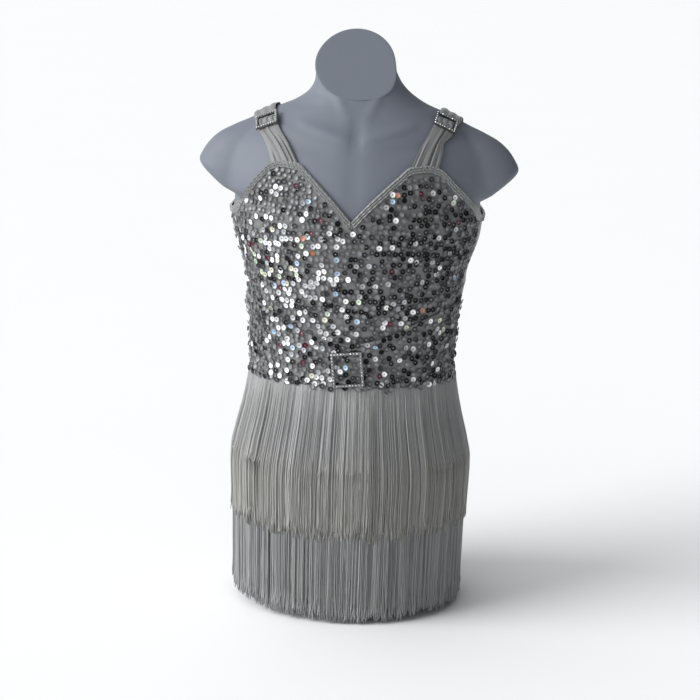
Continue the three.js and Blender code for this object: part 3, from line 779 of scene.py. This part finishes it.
def cup_tones(tones):
    """Tone of every sequin's points, with painted light: pale ones have a dark hole, painted shade on the rim
    and a painted shade crescent on one side; dark ones a painted pale glint, painted shade on their turned
    rim and a faint painted highlight crescent.
    """
    count = len(tones)
    pale = clamp((tones.mean(1) - 0.12) / 0.3)[:, None, None]
    ring = np.repeat(np.arange(len(SEQUIN_RINGS)), SEQUIN_SIDES)
    angle = np.tile(np.arange(SEQUIN_SIDES), len(SEQUIN_RINGS)) * 2 * math.pi / SEQUIN_SIDES
    turn = CHANCE.random(count)[:, None] * 2 * np.pi
    # The hole's middle is dark; the outer ring of pale sequins is made a little darker, painted shade on the
    # rim.
    hole = np.array([0.12, 1.0, 1.0, 0.92])[ring][None, :, None]
    glint = np.array([0.3, 0.015, 0.0, 0.025])[ring][None, :, None]
    # Painted light on one side of each rim, at a random turn: painted shade on pale sequins, a painted
    # highlight on dark ones.
    crescent = (np.array([0, 0, 0.3, 1.0])[ring][None] * clamp(np.cos(angle[None] - turn)))[:, :, None]
    bright = tones[:, None] * hole * (1 - 0.35 * crescent)
    # Dark sequins: painted shade on the turned rim, and a painted glint mostly in the middle.
    dim = tones[:, None] * (1 - 0.45 * np.array([0, 0, 0.35, 1.0])[ring][None, :, None])
    dim = dim + glint * CHANCE.random(count)[:, None, None] + 0.03 * crescent
    return (bright * pale + dim * (1 - pale)).reshape(-1, 3)


def sequins(name, turns, z, out, loose):
    """Cup sequins sewn on by the hole in their middle, each leaning its own way."""
    cup, cup_faces = lathe(SEQUIN_RINGS, SEQUIN_SIDES, True, False)
    at, around, up, outward = trunk_frame(turns, z, out)
    lean = np.clip(CHANCE.normal(size=len(turns)) * loose, -0.6, 0.6)
    heading = CHANCE.random(len(turns)) * 2 * np.pi
    lift = 0.75 + np.abs(lean) * 1.9
    toward = around * np.cos(heading)[:, None] + up * np.sin(heading)[:, None]
    normal = unit(outward * np.cos(lean)[:, None] + toward * np.sin(lean)[:, None])
    side = unit(np.cross(up, normal))
    tone = cup_tones(sequin_tones_and_painted_light(turns, z))
    size = CHANCE.uniform(*SEQUIN_SIZES, len(turns))
    at = at + outward * lift[:, None]
    return scattered(name, cup, cup_faces, at, side, np.cross(normal, side), normal, SEQUIN, tone, size)


def rows_of_places(low, high):
    """Turns and heights of loose rows across the front, from one height to another."""
    turns, heights = [], []
    for k, z in enumerate(np.arange(low, high, SEQUIN_PITCH)):
        girth = np.linspace(-SEQUIN_TURN, SEQUIN_TURN, 400)
        line = trunk(girth, z, 3)
        length = length_along(line)
        places = np.arange((k % 2) * SEQUIN_PITCH / 2 + CHANCE.uniform(0, 1.5), length[-1], SEQUIN_PITCH)
        places = places + CHANCE.normal(size=len(places)) * 0.75
        turns.append(np.interp(places, length, girth))
        heights.append(z + CHANCE.normal(size=len(places)) * 0.8 + 1.5 * np.sin(places / 31 + k * 0.4))
    return np.concatenate(turns), np.concatenate(heights)


def bodice_sequins():
    turns, z = rows_of_places(WAIST_Z + 6, SEQUIN_TOP)
    top = edge_front(turns) - drop_of(edge_front, turns, BINDING_WIDTH) - 1.6
    covered = sash_top(np.abs(turns)) + 0.8
    keep = (z < top) & (z > covered) & (CHANCE.random(len(turns)) > 0.04)
    turns, z = turns[keep], z[keep]
    return sequins("bodice_sequins", turns, z, 3.0 + creased(turns, z, FRONT_CREASES), 0.15)


def spread_out(points, apart):
    """Which of these points to keep, in their order, so that none is nearer than this to one kept before."""
    kept = []
    for k, point in enumerate(points):
        if not kept or np.min(np.sum((points[kept] - point) ** 2, 1)) > apart ** 2:
            kept.append(k)
    return np.array(kept)


def sash_sequins():
    """Uneven rows that follow the gathers and close up towards the frame."""
    rows, count = 26, 90
    turns, share = [], []
    for k in range(rows):
        even = np.linspace(-SEQUIN_TURN, SEQUIN_TURN, count)
        places = even + (k % 2) * 0.85 + CHANCE.normal(size=count) * 0.4
        turns.append(places)
        share.append((k + 0.4) / rows + CHANCE.normal(size=count) * 0.012 + 0.012 * np.sin(places / 9 + k))
    turns, share = np.clip(np.concatenate(turns), -76.3, 76.3), np.clip(np.concatenate(share), 0.02, 0.99)
    order = CHANCE.permutation(len(turns))
    turns, share = turns[order], share[order]
    z = up_from_waist(sash_top(np.abs(turns)), share)
    out = SASH_OUT[1] + sash_fold(turns, share)
    keep = spread_out(trunk(turns, z, out), SASH_SEQUINS_APART)
    return sequins("sash_sequins", turns[keep], z[keep], out[keep], 0.22)


def hem_sequins():
    """The last row of the bodice, hanging over the top of the fringe."""
    turns = np.linspace(-75, 75, 42) + CHANCE.normal(size=42) * 0.8
    z = WAIST_Z - 0.5 + CHANCE.normal(size=42) * 1.3
    return sequins("hem_sequins", turns, z, SASH_OUT[1] + 0.4, 0.3)


# ---- straps and frames

def is_inside(x, y, z):
    level = level_at(z)
    return (np.abs(x) < level["core"] + level["arm"]) & (np.abs(y) < reach(level, x, y < 0, 0))


def strap_end(edge, x, is_front):
    turns = np.full(np.shape(x), 35.0 if is_front else 145.0)
    for _ in range(END_PASSES):
        turn = np.degrees(np.arcsin(np.minimum(1, x / level_at(edge(turns))["core"])))
        turns = turn if is_front else 180 - turn
    return trunk(turns, edge(turns) + STRAP_SEAM, 0)


def strap_turn(point):
    return np.arctan2(point[..., 2] - STRAP_AXIS[1], point[..., 1] - STRAP_AXIS[0])


def strap_point(share, across, out, lean):
    """A point of the strap: share of its length, across from -1 to 1, height over the form, outward swing."""
    share, across, out = floats(share, across, out)
    swing = lean * np.sin(np.pi * clamp(share / LEAN_REACH))
    x = strap_middle(share) + swing + across * strap_width(share) / 2
    start = strap_turn(strap_end(edge_front, strap_middle(0) + across * strap_width(0) / 2, True))
    end = strap_turn(strap_end(edge_back, strap_middle(1) + across * strap_width(1) / 2, False))
    turn = start + (end - start) * share
    low, high = np.zeros(x.shape), np.full(x.shape, FARTHEST)
    for _ in range(HALVINGS):
        middle = (low + high) / 2
        inside = is_inside(x, STRAP_AXIS[0] + middle * np.cos(turn), STRAP_AXIS[1] + middle * np.sin(turn))
        low, high = np.where(inside, middle, low), np.where(inside, high, middle)
    radius = high + out
    return np.stack([x, STRAP_AXIS[0] + radius * np.cos(turn), STRAP_AXIS[1] + radius * np.sin(turn)], -1)


# Folds in front of each strap's frame: place across at the bodice and at the frame (1 is the armhole side),
# share of the strap where the fold has died out, half width, height.
STRAP_CREASES = {
    "right": [
        (-0.14, 0.28, 0.40, 0.10, 1.3),
        (0.16, 0.52, 0.34, 0.20, -0.9),
        (-0.53, -0.30, 0.16, 0.10, 1.0),
        (-0.34, -0.05, 0.15, 0.10, -0.9),
        (-0.86, -0.80, 0.10, 0.09, 0.8),
        (-0.71, -0.60, 0.12, 0.08, -0.9),
        (0.80, 0.80, 0.08, 0.12, 0.8),
        (0.60, 0.70, 0.07, 0.08, -0.7),
    ],
    "left": [
        (0.24, 0.26, 0.36, 0.085, -1.9),
        (0.42, 0.44, 0.30, 0.12, 1.0),
        (0.06, 0.04, 0.30, 0.16, 0.6),
        (-0.66, -0.72, 0.16, 0.09, 0.9),
        (-0.80, -0.84, 0.12, 0.07, -0.8),
        (0.70, 0.66, 0.10, 0.09, -0.9),
        (0.86, 0.84, 0.10, 0.09, 0.7),
        (-0.30, -0.30, 0.09, 0.10, -0.6),
    ],
}
STRAP_PINCH = {"right": 0.06, "left": 0.3}


def strap(word):
    """A gathered strap, pleated where it is sewn in, bunched through its frame and loose behind it."""
    lean = STRAP_SIDES[word]["lean"]
    share = np.linspace(-0.04, 1.03, 161)[None, :]
    across = np.linspace(-1, 1, 65)[:, None]
    frame_share = STRAP_SIDES[word]["share"]
    toward_frame = np.clip(share / frame_share, -0.15, 1)
    lift = 0.7 * (1 - across ** 4) + 0 * share
    for base, top, gone, width, height in STRAP_CREASES[word]:
        centre = base + (top - base) * toward_frame
        strength = clamp((gone - share) / 0.06) * clamp((frame_share - 0.03 - share) / 0.03)
        lift = lift + height * strength * bell((across - centre) / width)
    window = clamp(1 - np.abs(share - frame_share) / 0.034) ** 0.5
    window = window * clamp((0.95 - np.abs(across)) / 0.1)
    bunches = 0.8 + 0.5 * np.abs(np.sin(np.pi * (1.6 * across + 0.3 + 0.25 * np.sin(share * 90)))) ** 0.7
    lift = np.where(window > 0, np.maximum(lift, 0.6) + 3.7 * window * bunches, lift)
    behind = clamp((share - frame_share - 0.04) / 0.05)
    loose = 0.8 * np.sin(np.pi * (1.3 * across + 0.2 + 0.3 * np.sin(share * 6))) ** 2
    pleats = 0.7 * np.exp(-np.clip(1 - share, 0, None) / 0.08) * np.sin(np.pi * 3.2 * across) ** 2
    lift = lift + behind * (loose + pleats)
    squeeze = 1 - 0.13 * bell((share - frame_share) / 0.045)
    pinch = STRAP_PINCH[word] * bell((share - 0.155) / 0.05) * clamp(across)
    place_across = across * squeeze - pinch
    outer = strap_point(share, place_across, STRAP_LIFT + 0.9 + lift, lean)
    inner = strap_point(share, place_across, STRAP_LIFT + 0.1 + 0.7 * np.clip(lift, -0.2, 3), lean)
    if STRAP_SIDES[word]["side"] < 0:
        outer, inner = (outer * (-1, 1, 1))[::-1], (inner * (-1, 1, 1))[::-1]
    return shell("gathered_strap_" + word, outer, inner, STRAP)


def around_rectangle(width, height, across, down):
    """Places round a rectangle, corners included once."""
    xs, ys = np.linspace(-width / 2, width / 2, across), np.linspace(-height / 2, height / 2, down)
    places = [(x, -height / 2) for x in xs[:-1]] + [(width / 2, y) for y in ys[:-1]]
    places += [(x, height / 2) for x in xs[:0:-1]] + [(-width / 2, y) for y in ys[:0:-1]]
    return np.array(places)


# Rings of a stone's cup and of the stone: share of its radius, height over the frame.
SETTING_RINGS = [(0.9, -0.3), (1.08, 0.05), (1.08, 0.5), (0.93, 0.62), (0.9, 0.3)]
GEM_RINGS = [(0.9, 0.4), (0.92, 0.62), (0.7, 0.98), (0.46, 1.15)]
STONE_TINTS = np.array([(0.9, 0.91, 0.95), (0.42, 0.44, 0.47), (0.7, 0.69, 0.67), (0.3, 0.32, 0.35),
                        (0.52, 0.56, 0.54)])


def stones(name, size, across, down, origin, x_axis, y_axis, out_axis, radius):
    """Round cut stones in cups, edge to edge on a frame."""
    places = around_rectangle(size["width"] - size["bar"], size["height"] - size["bar"], across, down)
    at = origin + places[:, :1] * x_axis + places[:, 1:] * y_axis + out_axis * size["thick"]
    spin = CHANCE.random(len(at)) * np.pi
    x = x_axis * np.cos(spin)[:, None] + y_axis * np.sin(spin)[:, None]
    y = np.cross(np.broadcast_to(out_axis, x.shape), x)
    lean = CHANCE.normal(size=(len(at), 2)) * 0.06
    z = unit(out_axis + x * lean[:, :1] + y * lean[:, 1:])
    cup, cup_faces = lathe([(radius * share, height) for share, height in SETTING_RINGS], 12)
    gem, gem_faces = lathe([(radius * share, height) for share, height in GEM_RINGS], 8)
    settings = scattered(name + "_settings", cup, cup_faces, at, x, y, z, METAL)
    tints = STONE_TINTS[CHANCE.integers(0, len(STONE_TINTS), len(at))]
    gems = scattered(name + "_stones", gem, gem_faces, at, x, y, z, STONE, tone=tints)
    gems.data.polygons.foreach_set("use_smooth", np.zeros(len(gems.data.polygons), bool))
    return [settings, gems]


def strap_stones(word):
    side, lean, share, turn = STRAP_SIDES[word].values()
    seat = strap_point(share, 0, STRAP_LIFT + 1.5 + 0.6 + 0.3, lean)
    along = unit(strap_point(share + 0.01, 0, 0, lean) - strap_point(share - 0.01, 0, 0, lean))
    across = unit(strap_point(share, 1, 0, lean) - strap_point(share, -1, 0, lean))
    outward = unit(np.cross(across, along))
    along = along * math.cos(turn) + np.cross(outward, along) * math.sin(turn)
    across = np.cross(along, outward)
    flip = np.array((side, 1, 1))
    axes = (across * flip, along * flip, outward * flip)
    return stones("strap_frame_" + word, STRAP_FRAME, 9, 6, seat * flip, *axes, 0.9)


def waist_stones():
    turn = math.radians(WAIST_FRAME["turn"])
    fullest = level_at(WAIST_FRAME["z"] + WAIST_FRAME["height"] / 2)["front"]
    seat = np.array((0, -fullest - 5.4 - 1.2 - 0.3, WAIST_FRAME["z"]))
    x_axis = np.array((math.cos(turn), 0, math.sin(turn)))
    y_axis = np.array((-math.sin(turn), 0, math.cos(turn)))
    return stones("waist_frame", WAIST_FRAME, 10, 11, seat, x_axis, y_axis, np.array((0.0, -1.0, 0.0)), 0.95)


# ---- shorts

SHORTS_CREASES = [
    (0.06, 150, 0.30, 160, 8, 0.9),
    (0.05, 128, 0.26, 140, 7, -0.8),
    (0.10, 96, 0.34, 92, 8, 0.8),
    (0.18, 70, 0.40, 66, 7, 0.7),
    (0.94, 150, 0.70, 158, 8, 0.9),
    (0.95, 120, 0.72, 132, 7, -0.8),
    (0.88, 90, 0.66, 84, 8, 0.8),
    (0.80, 66, 0.62, 62, 7, 0.6),
]
MM_PER_SHARE = 330
LEG_MIDDLE = 57.0
SEAM_HALF = 0.15  # from the middle plane to the edge of each shorts piece


def shorts(word, sign, is_front):
    share = np.linspace(0, 0.5, 61)[:, None] + (0 if is_front else 0.5)
    z = np.linspace(HEM_Z, WAIST_Z, 101)[None, :]
    lift = np.zeros((61, 101))
    for start, start_z, end, end_z, width, height in SHORTS_CREASES:
        ends = start * MM_PER_SHARE, start_z, end * MM_PER_SHARE, end_z
        lift += height * along_line(share * MM_PER_SHARE, z, *ends, width)[1]
    hem = 0.45 * np.exp(-((z - HEM_Z - 9) / 7) ** 4)
    outer, inner = half(z, share, 3.0 + np.minimum(lift, 0.7) + hem), half(z, share, 2.0 + 0 * lift)
    for sheet in (outer, inner):
        sheet[..., 0] = np.maximum(sheet[..., 0], SEAM_HALF)
        near_side = -SEAM_HALF if is_front else SEAM_HALF
        sheet[..., 1] = np.where(np.abs(sheet[..., 1]) < SEAM_HALF, near_side, sheet[..., 1])
        sheet[..., 0] *= sign
    if sign < 0:
        outer, inner = outer[::-1], inner[::-1]
    return shell(("front" if is_front else "back") + "_shorts_" + word, outer, inner, KNIT)


def hem_stitches():
    """Two rows of cover stitch round each leg opening."""
    parts = []
    for sign in (1, -1):
        for height in (HEM_Z + 14, HEM_Z + 17):
            share = np.linspace(0.002, 0.998, 900)
            line = half(height, share, 3.55) * (sign, 1, 1)
            length = length_along(line)
            places = np.arange(1.2, length[-1], 2.6)
            at, ahead = points_at(places, length, line), points_at(places + 0.4, length, line)
            parts.append((at, unit(ahead - at), unit(at - np.array((sign * LEG_MIDDLE, 0, height)))))
    return thread_runs("shorts_hem_stitches", parts)


# ---- fringe

def even_turns(count):
    """Degrees of evenly spaced places round the hips."""
    fine = np.linspace(0, 360, 1441)
    line = trunk(fine, HIP_Z, 0)
    length = length_along(line)
    return np.interp(length[-1] * (np.arange(count) + 0.5) / count, length, fine)


def hang_point(turns, z, out):
    points = trunk(turns, np.maximum(z, HIP_Z), out)
    points[..., 2] = z
    return points


# Where the cords part: degrees round, half width of the gap, height where it opens.
PARTINGS = {
    "fringe_upper_cords": [(-46, 0.7, 168), (-64, 0.5, 178), (62, 0.5, 170), (21, 0.35, 180), (128, 0.8, 190),
                           (-145, 0.7, 180), (-110, 0.6, 196)],
    "fringe_lower_cords": [(2, 0.5, 90), (150, 0.6, 90)],
}
# Where the lower fringe's heading shows as a step in the upper cords, with painted shade on the cords under
# the step and painted light over it: degrees round, half width, how much.
HEADING_STEPS = [(-74, 6, 1), (-50, 7, 1), (-4, 16, 0.45), (62, 17, 0.7), (140, 20, 0.6), (-135, 22, 0.6)]
HEADING_SHARES = (0.525, 0.545, 0.565)
# How far the cords of each tier hang off the body: height, distance.
UPPER_HANG = [(234, 5.4), (222, 5.8), (200, 6.7), (172, 7.4), (HIP_Z, 7.6), (110, 6.5), (87, 5.6), (60, 5.5)]
LOWER_HANG = [(157.5, 5.2), (HIP_Z, 5.2), (70, 4.2), (2, 3.2), (-20, 3.2)]
# Rings of points down a cord, as shares of its length.
UPPER_RINGS = (0, 0.05, 0.14, 0.26, 0.40, *HEADING_SHARES, 0.66, 0.77, 0.86, 0.92, 0.97, 1)
LOWER_RINGS = (0, 0.12, 0.26, 0.42, 0.58, 0.72, 0.83, 0.90, 0.94, 0.975, 1)


def runs(chance, count, least, most):
    """Which run each cord is in, when a run has from least to most cords."""
    ends = np.cumsum(chance.integers(least, most, count // least))
    return np.searchsorted(ends, np.arange(count), side="right")


def shared_draw(chance, group):
    """A draw that gives all the members of a group one normal number, of a given size."""
    return lambda size: (chance.normal(size=group.max() + 1) * size)[group]


def fringe(name, count, hang, end_z, start, tone, thick, seed, upper):
    """Chainette cords that bunch into uneven locks on their way down, with ragged, curling ends."""
    chance = np.random.default_rng(seed)
    turns = even_turns(count)
    turns = np.where(turns > 180, turns - 360, turns)
    of_lock = shared_draw(chance, runs(chance, count, 6, 34))
    of_tuft = shared_draw(chance, runs(chance, count, 3, 12))
    own = shared_draw(chance, np.arange(count))
    drift = of_lock(0.22) + own(0.35)
    depth = of_lock(0.35) + own(0.5)
    if upper:
        end = end_z + np.clip(of_lock(1.8) + of_tuft(2.6) + own(2.2), -5, 9)
    else:
        corner = 11 * bell((turns + 88) / 13)
        ragged = np.abs(of_tuft(4.6)) + np.abs(own(2.8))
        end = end_z - 3.6 * bell(turns / 34) + corner + ragged - 2.2
    down = np.array(UPPER_RINGS if upper else LOWER_RINGS)[None, :]
    z = start + (end[:, None] - start) * down
    out = smooth_through(sorted(hang))(z) + depth[:, None] * clamp(down * 4)
    turn = turns[:, None] + drift[:, None] * down ** 1.5
    phase, pace = chance.uniform(0, 2 * np.pi, (count, 1)), chance.uniform(30, 80, (count, 1))
    turn = turn + 0.14 * np.sin(phase + z / pace * 2 * np.pi) * down
    curl = clamp((down - 0.85) / 0.15) ** 2
    turn = turn + curl * own(0.9)[:, None] * np.sin(phase + 16 * down)
    out = out + curl * np.abs(own(0.7))[:, None]
    shade = tone * np.clip(1 + of_lock(0.09) + own(0.16), 0.55, 1.5)[:, None]
    # Painted light: below a height of 26 mm each cord is made lighter, 7 % lighter below 14 mm.
    shade = shade * (1 + 0.07 * clamp((26 - z) / 12))
    for middle, width, opens in PARTINGS[name]:
        gap = clamp((opens - z) / 30) * clamp((z - end[:, None]) / 40)
        away = turns[:, None] - middle
        turn = turn + gap * width * np.sign(away) * bell(away / (2 * width))
    if upper:
        for middle, width, strength in HEADING_STEPS:
            step = strength * np.exp(-((turns[:, None] - middle) / width) ** 4)
            out = out + 0.9 * step * (down == HEADING_SHARES[1])
            # Painted shade on the ring under each step, up to 30 % darker, and painted light on the ring over
            # it, up to 12 % lighter.
            under, over = down == HEADING_SHARES[2], down == HEADING_SHARES[0]
            shade = shade * (1 - step * (0.3 * under - 0.12 * over))
    spine = hang_point(turn, z, out)
    outward = unit(hang_point(turn, z, out + 1) - spine)
    around = unit(np.cross(np.broadcast_to((0.0, 0.0, 1.0), spine.shape), outward))
    radius = thick * chance.uniform(0.85, 1.15, count)[:, None, None]
    radius = radius * np.where(down < 0.999, 1, 0.5)[..., None]
    sides = 3
    spin = chance.uniform(0, 2 * np.pi, (count, 1, 1))
    angles = [spin + 2 * math.pi * k / sides for k in range(sides)]
    points = np.stack([spine + radius * (np.cos(a) * outward + np.sin(a) * around) for a in angles], 2)
    k, j, c = np.meshgrid(np.arange(count), np.arange(down.size - 1), np.arange(sides), indexing="ij")
    first = (k * down.size + j) * sides
    after = (c + 1) % sides
    faces = np.stack([first + c, first + sides + c, first + sides + after, first + after], -1).reshape(-1, 4)
    tips = (np.arange(count)[:, None] * down.size + down.size - 1) * sides + np.arange(sides)[None, ::-1]
    warmth = own(0.012)[:, None] + (0.032 * clamp((172 - z) / 24) if upper else -0.006)
    tint = np.stack([1 + 0.3 * warmth, 1 + 0 * warmth, 1 - 1.7 * warmth], -1)
    tones = np.repeat(shade[..., None] * tint, sides, axis=1)
    return make_mesh(name, points, faces.tolist() + tips.tolist(), CORD, tone=tones)


def tape(name, low, high, out):
    turns = np.linspace(0, 360, 361)[:-1, None]
    z = np.linspace(low, high, 7)[None, :]
    bulge = 0.25 * np.sin(np.pi * (z - low) / (high - low)) + 0.12 * np.cos(np.radians(turns) * 180)
    return shell(name, trunk(turns, z, out[1] + bulge), trunk(turns, z, out[0] + 0 * bulge), KNIT, ring=True)


# ---- assembly

def place(pieces, node):
    for piece in pieces if isinstance(pieces, list) else [pieces]:
        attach(piece, "root")
        if node:
            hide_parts(node)
    return pieces


FRONT = (edge_front, -SIDE_SEAM, SIDE_SEAM)
BACK = (edge_back, SIDE_SEAM + SEAM_SLIT, 360 - (SIDE_SEAM + SEAM_SLIT))
BETWEEN_CHANNELS = (0.32, 0.68)

form = place(dress_form(), "torso_form")
bodice = place(panel("front_bodice", *FRONT, 130, 84, FRONT_CREASES, GROUND), "bodice_front")
back = place(panel("back_bodice", *BACK, 160, 80, BACK_CREASES, KNIT), "bodice_back")
bind_front = place(binding("front_binding", *FRONT, 300), "binding_front")
bind_back = place(binding("back_binding", *BACK, 320), "binding_back")
front_seam = place(stitches("front_binding_stitches", edge_front, -76, 76, BETWEEN_CHANNELS), None)
back_seam = place(stitches("back_binding_stitches", edge_back, 78, 282, BETWEEN_CHANNELS), None)
band = place(sash(), "sash")
scales = place([bodice_sequins(), sash_sequins(), hem_sequins()], None)
straps = {word: place(strap(word), "strap_" + word) for word in STRAP_SIDES}
strap_trim = {word: place(strap_stones(word), None) for word in STRAP_SIDES}
waist_trim = place(waist_stones(), None)
for word, sign in (("left", 1), ("right", -1)):
    for is_front in (True, False):
        node = "shorts_" + ("front_" if is_front else "back_") + word
        place(shorts(word, sign, is_front), node)
hem_seam = place(hem_stitches(), None)
upper_cords = fringe("fringe_upper_cords", 2300, UPPER_HANG, 90, 235.5, 0.29, 0.48, 3, True)
lower_cords = fringe("fringe_lower_cords", 2200, LOWER_HANG, 6, 160, 0.265, 0.48, 5, False)
upper = place(upper_cords, "fringe_upper")
lower = place(lower_cords, "fringe_lower")
upper_tape = place(tape("fringe_upper_tape", 228.8, 236.7, (3.9, 4.7)), "fringe_upper")
lower_tape = place(tape("fringe_lower_tape", 153, 161, (3.9, 4.7)), "fringe_lower")
for node in ("strap_frame_left", "strap_frame_right", "waist_frame"):
    mesh = frame["nodes"][node].data
    mesh.materials.clear()
    mesh.materials.append(METAL)

# ---- floor, light and camera


def floor():
    size = 60.0
    corners = [(-size, -size, 0), (size, -size, 0), (size, size, 0), (-size, size, 0)]
    mesh = bpy.data.meshes.new("floor")
    mesh.from_pydata(corners, [], [(0, 1, 2, 3)])
    n = Nodes("floor_pale")
    n.set(Base_Color=n.mix(n.noise(3, 2), grey(0.985), grey(1.0)), Roughness=0.7)
    mesh.materials.append(n.material)
    plane = bpy.data.objects.new("floor", mesh)
    bpy.context.scene.collection.objects.link(plane)


def sun(name, strength, spread, toward):
    data = bpy.data.lights.new(name, "SUN")
    data.energy = strength
    data.angle = math.radians(spread)
    lamp = bpy.data.objects.new(name, data)
    lamp.rotation_euler = Vector(toward).to_track_quat("-Z", "Y").to_euler()
    bpy.context.scene.collection.objects.link(lamp)


def world():
    """A pale room with a bright horizon, brighter on the side that the key light comes from."""
    n = Nodes("studio", "worlds", "Background")
    direction = n.add("SeparateXYZ", Vector=n.add("TexCoord").outputs["Generated"]).outputs
    fade = n.span(direction[0], 1.15, 0.06, -0.9, 0.9, "SMOOTHSTEP")
    horizon = n.span(direction[2], 1, 0, 0.04, 0.09)
    n.set(Color=(0.96, 0.98, 1, 1), Strength=n.math("MAXIMUM", fade, horizon))
    bpy.context.scene.world = n.material
    bpy.context.scene.view_settings.view_transform = "Standard"


PICTURE = 700  # pixels across
FOCAL_PIXELS = 2000
SENSOR = 36
DISTANCE = 2.0


def camera():
    elevation, azimuth, roll = (math.radians(turn) for turn in (14, 3.5, 1.7))
    data = bpy.data.cameras.new("camera")
    data.sensor_width = SENSOR
    data.lens = FOCAL_PIXELS / PICTURE * SENSOR
    data.shift_x = -3 / PICTURE
    eye = bpy.data.objects.new("camera", data)
    target = Vector((0, 0, 0.254))
    level = math.cos(elevation)
    offset = Vector((math.sin(azimuth) * level, -math.cos(azimuth) * level, math.sin(elevation)))
    turn = (-offset).to_track_quat("-Z", "Y").to_matrix().to_4x4()
    eye.matrix_world = Matrix.Translation(target + offset * DISTANCE) @ turn @ Matrix.Rotation(roll, 4, "Z")
    bpy.context.scene.collection.objects.link(eye)
    bpy.context.scene.camera = eye


floor()
sun("key", 3.0, 42, (0.95, 0.4, -0.5))
world()
camera()
